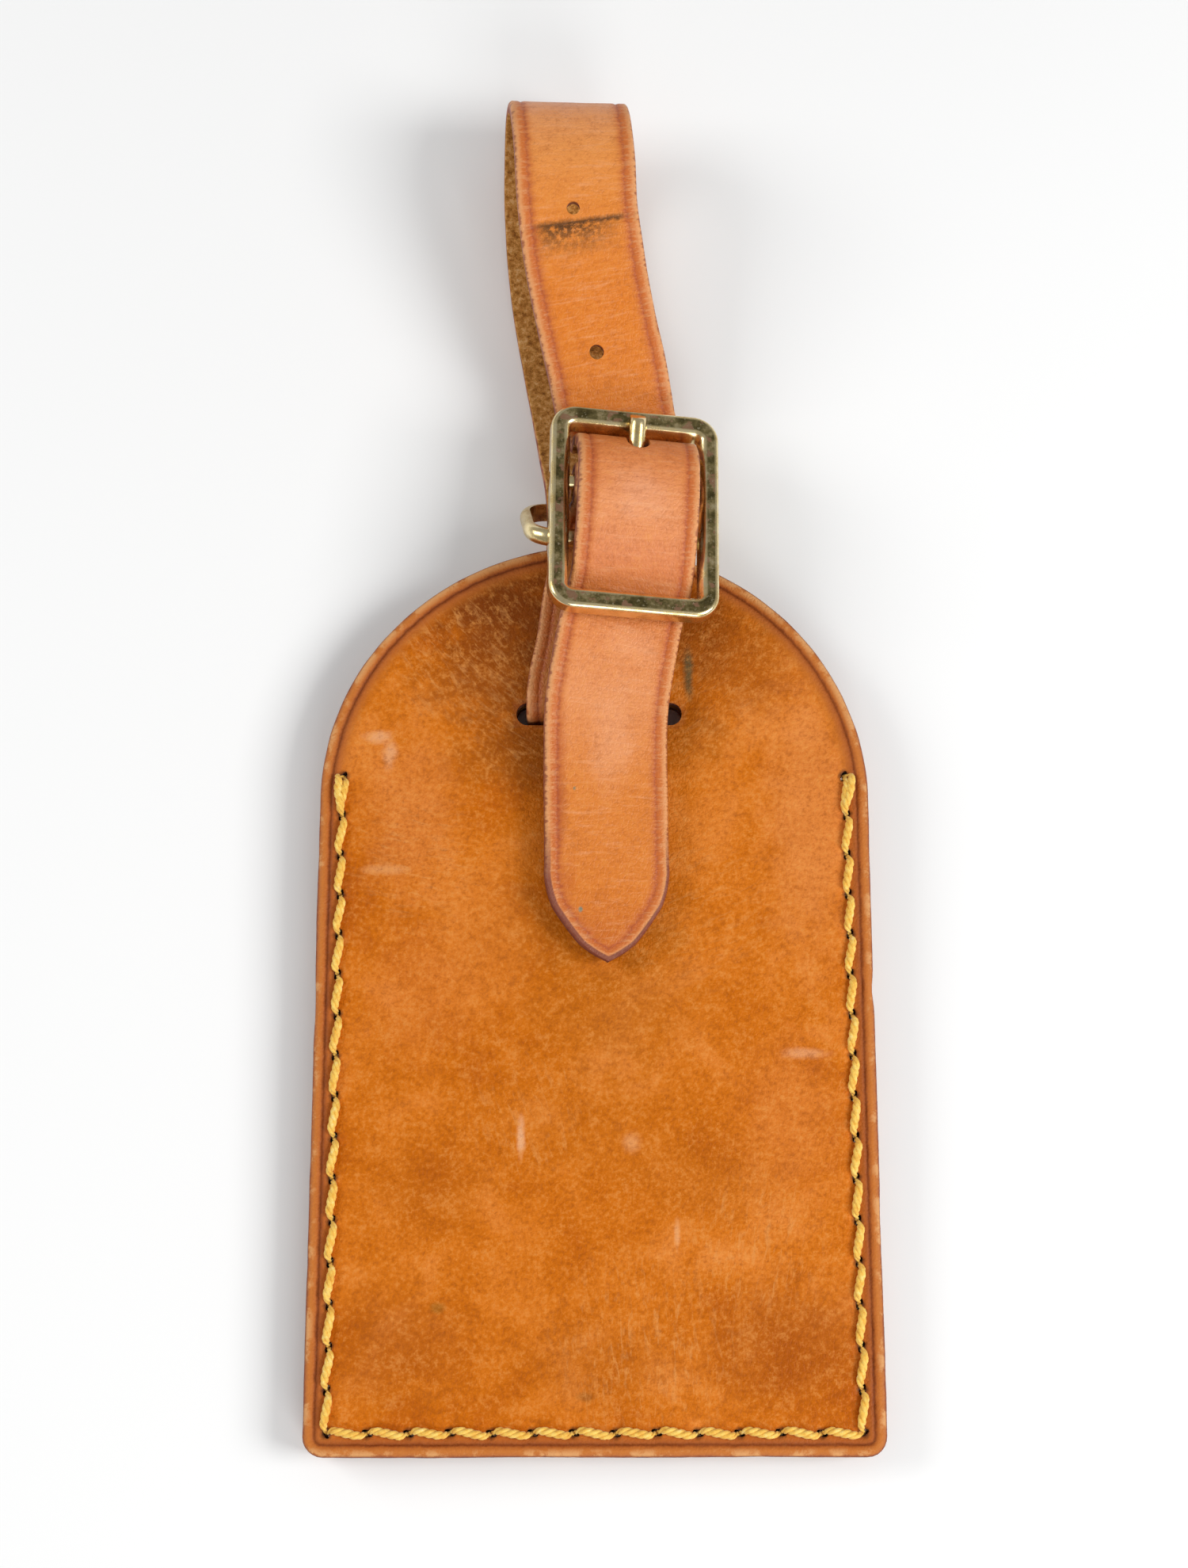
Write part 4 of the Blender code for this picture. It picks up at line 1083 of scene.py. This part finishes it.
def handled_strap_leather():
    """The strap's softer leather: paler and pinker at the crest of its loop and on its hump in the buckle,
    which is a painted highlight, darker where it passes under the buckle's bars, which is painted shade,
    creased beside both edges, with a fibrous flesh side and burnished walls."""
    made, tree, shader = new_material("handled_strap_leather")
    rim, side, across, left, fold = painted(tree, ("rim", "side", "across", "left", "fold"))
    place = node(tree, "CombineXYZ", {"X": across, "Y": left, "Z": side})
    scaled = node(tree, "Math", {0: left, 1: 1 / TONES_SPAN}, operation="MULTIPLY")
    cloud = node(tree, "TexNoise", {"Vector": place, "Scale": 1 / 9.0, "Detail": 5.0, "Roughness": 0.6})
    shifted = node(tree, "Math", {0: cloud, 1: 0.04, 2: scaled}, operation="MULTIPLY_ADD")
    # pale pink tones from 117 mm on are a painted highlight on the loop's crest; the lighter tone at 58 mm
    # is a painted highlight on the hump over the centre bar, and the darker ones at 46 and 70 mm are
    # painted shade where the strap passes under the buckle's bottom and top bars
    tones = ((0, "#C06018"), (9, "#D67826"), (22, "#D97E32"), (34, "#E08E56"), (41, "#DC864A"),
             (46, "#C9702C"), (51, "#DB8450"), (58, "#E6945E"), (64, "#D98045"), (70, "#CC6E26"),
             (80, "#DA7A22"), (92, "#DC7A22"), (104, "#DF8432"), (112, "#E39048"), (117, "#E6985E"),
             (121, "#E8A47E"), (126, "#E8AC90"), (134, "#E2A184"), (147, "#C9803C"))
    colour = node(tree, "ValToRGB", {"Fac": shifted},
                  ramp=[((mm + TONES_SHIFT) / TONES_SPAN, tone) for mm, tone in tones])
    # spots of stain, with a painted highlight and painted shade on the strap's hump in the buckle
    colour = stains_and_painted_light(tree, place, colour, STRAP_SPOTS, 0.0)
    colour, height = grained(tree, place, colour, 0.26)

    # light creases across the strap, where it has bent
    bent = node(tree, "VectorMath", {0: place, 1: (0.22, 1.7, 0.3)}, operation="MULTIPLY")
    creases = node(tree, "TexNoise",
                   {"Vector": bent, "Scale": 1.0, "Detail": 5.0, "Roughness": 0.62, "Distortion": 0.6})
    creased = node(tree, "MapRange", {"Value": creases}, span=(0.53, 0.72, 0.0, 0.30))
    colour = node(tree, "Mix", {0: creased, MIX_A: colour, MIX_B: "#EFB083"}, data_type="RGBA")
    hollows = node(tree, "MapRange", {"Value": creases}, span=(0.32, 0.48, 0.22, 0.0))
    colour = node(tree, "Mix", {0: hollows, MIX_A: colour, MIX_B: "#B45A1C"}, data_type="RGBA")

    # dirt in the fold that crosses the loop, smeared towards the buckle
    grime = node(tree, "TexNoise", {"Vector": place, "Scale": 1.3, "Detail": 6.0, "Roughness": 0.75})
    waver = node(tree, "Math", {0: grime, 1: 1.3, 2: fold}, operation="MULTIPLY_ADD")
    centred = node(tree, "Math", {0: waver, 1: 0.65}, operation="SUBTRACT")
    line = node(tree, "Math", {0: centred}, operation="ABSOLUTE")
    line_share = node(tree, "MapRange", {"Value": line}, span=(0.05, 0.62, 0.85, 0.0))
    smear = node(tree, "MapRange", {"Value": fold}, span=(-4.6, -0.4))
    ahead = node(tree, "Math", {0: fold, 1: 0.15}, operation="LESS_THAN")
    middle = node(tree, "Math", {0: across, 1: 1.2}, operation="ADD")
    spread = node(tree, "Math", {0: middle}, operation="ABSOLUTE")
    near = node(tree, "MapRange", {"Value": spread}, span=(2.5, 7.0, 1.0, 0.0))
    smeared = node(tree, "Math", {0: smear, 1: near}, operation="MULTIPLY")
    behind = node(tree, "Math", {0: smeared, 1: ahead}, operation="MULTIPLY")
    speckle = node(tree, "MapRange", {"Value": grime}, span=(0.38, 0.54, 0.0, 0.9))
    speckled = node(tree, "Math", {0: behind, 1: speckle}, operation="MULTIPLY")
    broken = node(tree, "MapRange", {"Value": grime}, span=(0.30, 0.44))
    lined = node(tree, "Math", {0: line_share, 1: broken}, operation="MULTIPLY")
    dirt = node(tree, "Math", {0: speckled, 1: lined}, operation="MAXIMUM")
    colour = node(tree, "Mix", {0: dirt, MIX_A: colour, MIX_B: "#40280E"}, data_type="RGBA")

    # small cross wrinkles between the crease and the edge
    stretched = node(tree, "VectorMath", {0: place, 1: (0.35, 2.2, 0.3)}, operation="MULTIPLY")
    wrinkle = node(tree, "TexNoise", {"Vector": stretched, "Scale": 1.0, "Detail": 5.0, "Roughness": 0.6})
    banding = node(tree, "Math", {0: wrinkle, 1: 1.5, 2: rim}, operation="MULTIPLY_ADD")
    shifted_rim = node(tree, "Math", {0: banding, 1: 0.78}, operation="SUBTRACT")
    frayed = node(tree, "MapRange", {"Value": wrinkle}, span=(0.50, 0.60, 0.0, 0.55))
    beside = node(tree, "MapRange", {"Value": rim}, span=(0.9, 1.9, 1.0, 0.0))
    fray = node(tree, "Math", {0: frayed, 1: beside}, operation="MULTIPLY")
    colour = banded(tree, place, colour, shifted_rim,
                    ((0.0, "#9E5C3C"), (0.08, "#DA9860"), (0.18, "#DA9058"), (0.30, "#C86C30"),
                     (0.46, "#C0622A"), (0.53, "#A8502C"), (0.62, "#BC602C"), (0.80, "#CC7434"),
                     (1.0, "#D67E3A")),
                    2.9, 1.3)
    colour = node(tree, "Mix", {0: fray, MIX_A: colour, MIX_B: "#E2A26C"}, data_type="RGBA")

    # the pointed end is burnished over its edge, wider on the left
    leaning = node(tree, "Math", {0: across, 1: 0.02, 2: rim}, operation="MULTIPLY_ADD")
    burnish = node(tree, "MapRange", {"Value": leaning}, span=(0.50, 0.66, 0.9, 0.0))
    pointed = node(tree, "MapRange", {"Value": left}, span=(10.0, 17.0, 1.0, 0.0))
    burnished = node(tree, "Math", {0: burnish, 1: pointed}, operation="MULTIPLY")
    colour = node(tree, "Mix", {0: burnished, MIX_A: colour, MIX_B: "#7E4236"}, data_type="RGBA")

    # burnished walls and the fibrous flesh side
    wall_share = node(tree, "MapRange", {"Value": side}, span=(0.30, 0.72, 1.0, 0.0))
    wall_cloud = node(tree, "TexNoise", {"Vector": place, "Scale": 0.8, "Detail": 5.0})
    wall_colour = node(tree, "ValToRGB", {"Fac": wall_cloud},
                       ramp=((0.30, "#6E3C36"), (0.46, "#8E5244"), (0.60, "#B0704C"), (0.74, "#CC9468")))
    tip_share = node(tree, "MapRange", {"Value": left}, span=(9.0, 24.0, 0.85, 0.0))
    wall_colour = node(tree, "Mix", {0: tip_share, MIX_A: wall_colour, MIX_B: "#663430"},
                       data_type="RGBA")
    colour = node(tree, "Mix", {0: wall_share, MIX_A: colour, MIX_B: wall_colour}, data_type="RGBA")
    flesh_share = node(tree, "MapRange", {"Value": side}, span=(-0.86, -0.76, 1.0, 0.0))
    fibres = node(tree, "TexNoise", {"Vector": place, "Scale": 1.3, "Detail": 6.0, "Roughness": 0.8})
    flesh_colour = node(tree, "ValToRGB", {"Fac": fibres},
                        ramp=((0.34, "#7A4A16"), (0.45, "#B0742E"), (0.55, "#D49A52"), (0.66, "#E8C08A")))
    colour = node(tree, "Mix", {0: flesh_share, MIX_A: colour, MIX_B: flesh_colour}, data_type="RGBA")
    nap = node(tree, "Math", {0: fibres, 1: flesh_share}, operation="MULTIPLY")
    relief = node(tree, "Math", {0: nap, 1: 4.0, 2: height}, operation="MULTIPLY_ADD")

    gloss = node(tree, "MapRange", {"Value": side}, span=(-0.9, 0.4, 0.85, 0.46))
    bump = node(tree, "Bump", {"Height": relief, "Strength": 0.5, "Distance": 0.00014})
    connect(tree, shader, {"Base Color": colour, "Roughness": gloss, "Normal": bump,
                           "Specular IOR Level": 0.28})
    return made


def brass_tarnish_and_reflection(name):
    """Cast and tumbled brass, its lacquer worn: bright yellow shoulders, the flats dark olive, partly
    tarnish in blotches and partly a painted dark reflection, and pink spots where the zinc has gone."""
    made, tree, shader = new_material(name)
    place = object_place(tree)
    flat, = painted(tree, ("flat",))
    blotch = node(tree, "TexNoise", {"Vector": place, "Scale": 1 / 2.2, "Detail": 7.0, "Roughness": 0.72})
    bright = node(tree, "ValToRGB", {"Fac": blotch},
                  ramp=((0.36, "#C8AC70"), (0.50, "#E6D09A"), (0.66, "#F0DFB4")))
    # the flat top faces take this dark olive: partly tarnish, partly a painted dark reflection of the
    # surroundings
    flat_tarnish_and_reflection = node(tree, "ValToRGB", {"Fac": blotch},
                ramp=((0.34, "#544A2C"), (0.46, "#7A6C42"), (0.53, "#A08E5C"), (0.60, "#CDB684"),
                      (0.70, "#E4D2A2")))
    colour = node(tree, "Mix", {0: flat, MIX_A: bright, MIX_B: flat_tarnish_and_reflection}, data_type="RGBA")
    spots = node(tree, "TexNoise", {"Vector": place, "Scale": 1 / 1.5, "Detail": 5.0})
    pink = node(tree, "MapRange", {"Value": spots}, span=(0.55, 0.60, 0.0, 0.8))
    dulled = node(tree, "Math", {0: pink, 1: flat}, operation="MULTIPLY")
    colour = node(tree, "Mix", {0: dulled, MIX_A: colour, MIX_B: "#CC9878"}, data_type="RGBA")
    speck = node(tree, "TexNoise", {"Vector": place, "Scale": 1 / 0.35, "Detail": 3.0})
    specked = node(tree, "MapRange", {"Value": speck}, span=(0.62, 0.68, 0.0, 0.6))
    colour = node(tree, "Mix", {0: specked, MIX_A: colour, MIX_B: "#E8D8B0"}, data_type="RGBA")
    gloss = node(tree, "MapRange", {"Value": blotch}, span=(0.36, 0.62, 0.32, 0.18))
    pits = node(tree, "TexNoise", {"Vector": place, "Scale": 1 / 0.3, "Detail": 4.0, "Roughness": 0.7})
    bump = node(tree, "Bump", {"Height": pits, "Strength": 0.2, "Distance": 0.00003})
    connect(tree, shader, {"Base Color": colour, "Roughness": gloss, "Normal": bump, "Metallic": 1.0})
    return made


def waxed_linen_thread():
    """Three-ply linen drawn through yellow wax: golden and soft-edged."""
    made, tree, shader = new_material("waxed_linen_thread")
    place = object_place(tree)
    wool = node(tree, "TexNoise", {"Vector": place, "Scale": 1 / 0.9, "Detail": 6.0, "Roughness": 0.7})
    colour = node(tree, "ValToRGB", {"Fac": wool},
                  ramp=((0.30, "#DA9C28"), (0.44, "#EDB640"), (0.58, "#F5CC5E"), (0.74, "#FAE098")))
    # linen fibres are far finer than would show, so they are drawn 0.12 mm apart
    fibres = node(tree, "TexNoise", {"Vector": place, "Scale": 1 / 0.12, "Detail": 3.0})
    bump = node(tree, "Bump", {"Height": fibres, "Strength": 0.5, "Distance": 0.00006})
    connect(tree, shader, {"Base Color": colour, "Normal": bump, "Roughness": 0.58,
                           "Sheen Weight": 0.25, "Sheen Roughness": 0.5})
    return made


def laid_card_stock():
    """Heavy uncoated card: warm white, with a faint fibrous mottle."""
    made, tree, shader = new_material("laid_card_stock")
    place = object_place(tree)
    pulp = node(tree, "TexNoise", {"Vector": place, "Scale": 1.6, "Detail": 6.0})
    colour = node(tree, "ValToRGB", {"Fac": pulp}, ramp=((0.35, "#E4DDCB"), (0.65, "#F1ECDF")))
    bump = node(tree, "Bump", {"Height": pulp, "Strength": 0.3, "Distance": 0.00005})
    connect(tree, shader, {"Base Color": colour, "Normal": bump, "Roughness": 0.85})
    return made


# ---------------------------------------------------------------- the scene round it
def floor():
    bm = bmesh.new()
    bmesh.ops.create_grid(bm, x_segments=1, y_segments=1, size=3.0)
    obj = to_object("floor", bm)
    obj.location.z = CAD_BOX[0].z - 0.0002
    made, tree, shader = new_material("white_sweep_paper")
    connect(tree, shader, {"Base Color": "#F6F6F5", "Roughness": 0.9})
    obj.data.materials.append(made)


def softbox(name, place, size, power):
    """A square light that looks at the tag's middle."""
    light = bpy.data.lights.new(name, "AREA")
    light.shape = "SQUARE"
    light.size = size
    light.energy = power
    obj = linked(name, light)
    obj.location = place
    obj.rotation_euler = (-Vector(place)).to_track_quat("-Z", "Y").to_euler()


def lights():
    world = bpy.data.worlds.new("studio")
    bpy.context.scene.world = world
    world.use_nodes = True
    connect(world.node_tree, world.node_tree.nodes["Background"], {"Color": "#EDEEF0", "Strength": 0.40})
    softbox("key", (0.50, -0.12, 0.45), 0.30, 2.9)
    softbox("fill", (-0.55, 0.12, 0.38), 0.35, 1.8)
    softbox("foot", (0.16, -0.56, 0.36), 0.32, 1.4)


def camera():
    """A close view from the sewn end, with a long lens."""
    data = bpy.data.cameras.new("camera")
    data.lens = CAMERA_LENS
    data.sensor_width = 36.0
    data.clip_start = 0.01
    data.clip_end = 20.0
    obj = linked("camera", data)
    obj.location = PLACE @ CAMERA_PLACE
    turn = Matrix.Rotation(LEAN + CAMERA_TILT, 3, "X") @ Matrix.Rotation(CAMERA_ROLL, 3, "Z")
    obj.rotation_euler = turn.to_euler()
    bpy.context.scene.camera = obj


def build():
    front_leather = waxed_bridle_leather("waxed_bridle_leather", True)
    rear_leather = waxed_bridle_leather("waxed_bridle_leather_back", False)
    fibre = waxed_linen_thread()
    cutters = [stitch_hole_cutter(), slot_cutter(), pocket_cutter()]
    panel("front_panel_leather", FACE_Z, 1, 3.0, front_leather, cutters)
    panel("rear_panel_leather", REAR_Z, -1, 41.0, rear_leather, cutters)
    address_card(laid_card_stock())
    thread("seam_thread", 1, FACE_Z, 1.0, fibre)
    thread("seam_thread_back", -1, REAR_Z, 0.7, fibre)
    strap(handled_strap_leather())
    brass = brass_tarnish_and_reflection("brass_tarnish_and_reflection")
    buckle_frame(brass)
    centre_bar(brass)
    prong(brass)
    keeper_ring(brass)
    for obj in list(bpy.data.objects):
        if "cutter" in obj.name:
            bpy.data.objects.remove(obj)


bpy.context.scene.view_settings.view_transform = "Standard"
build()
floor()
lights()
camera()
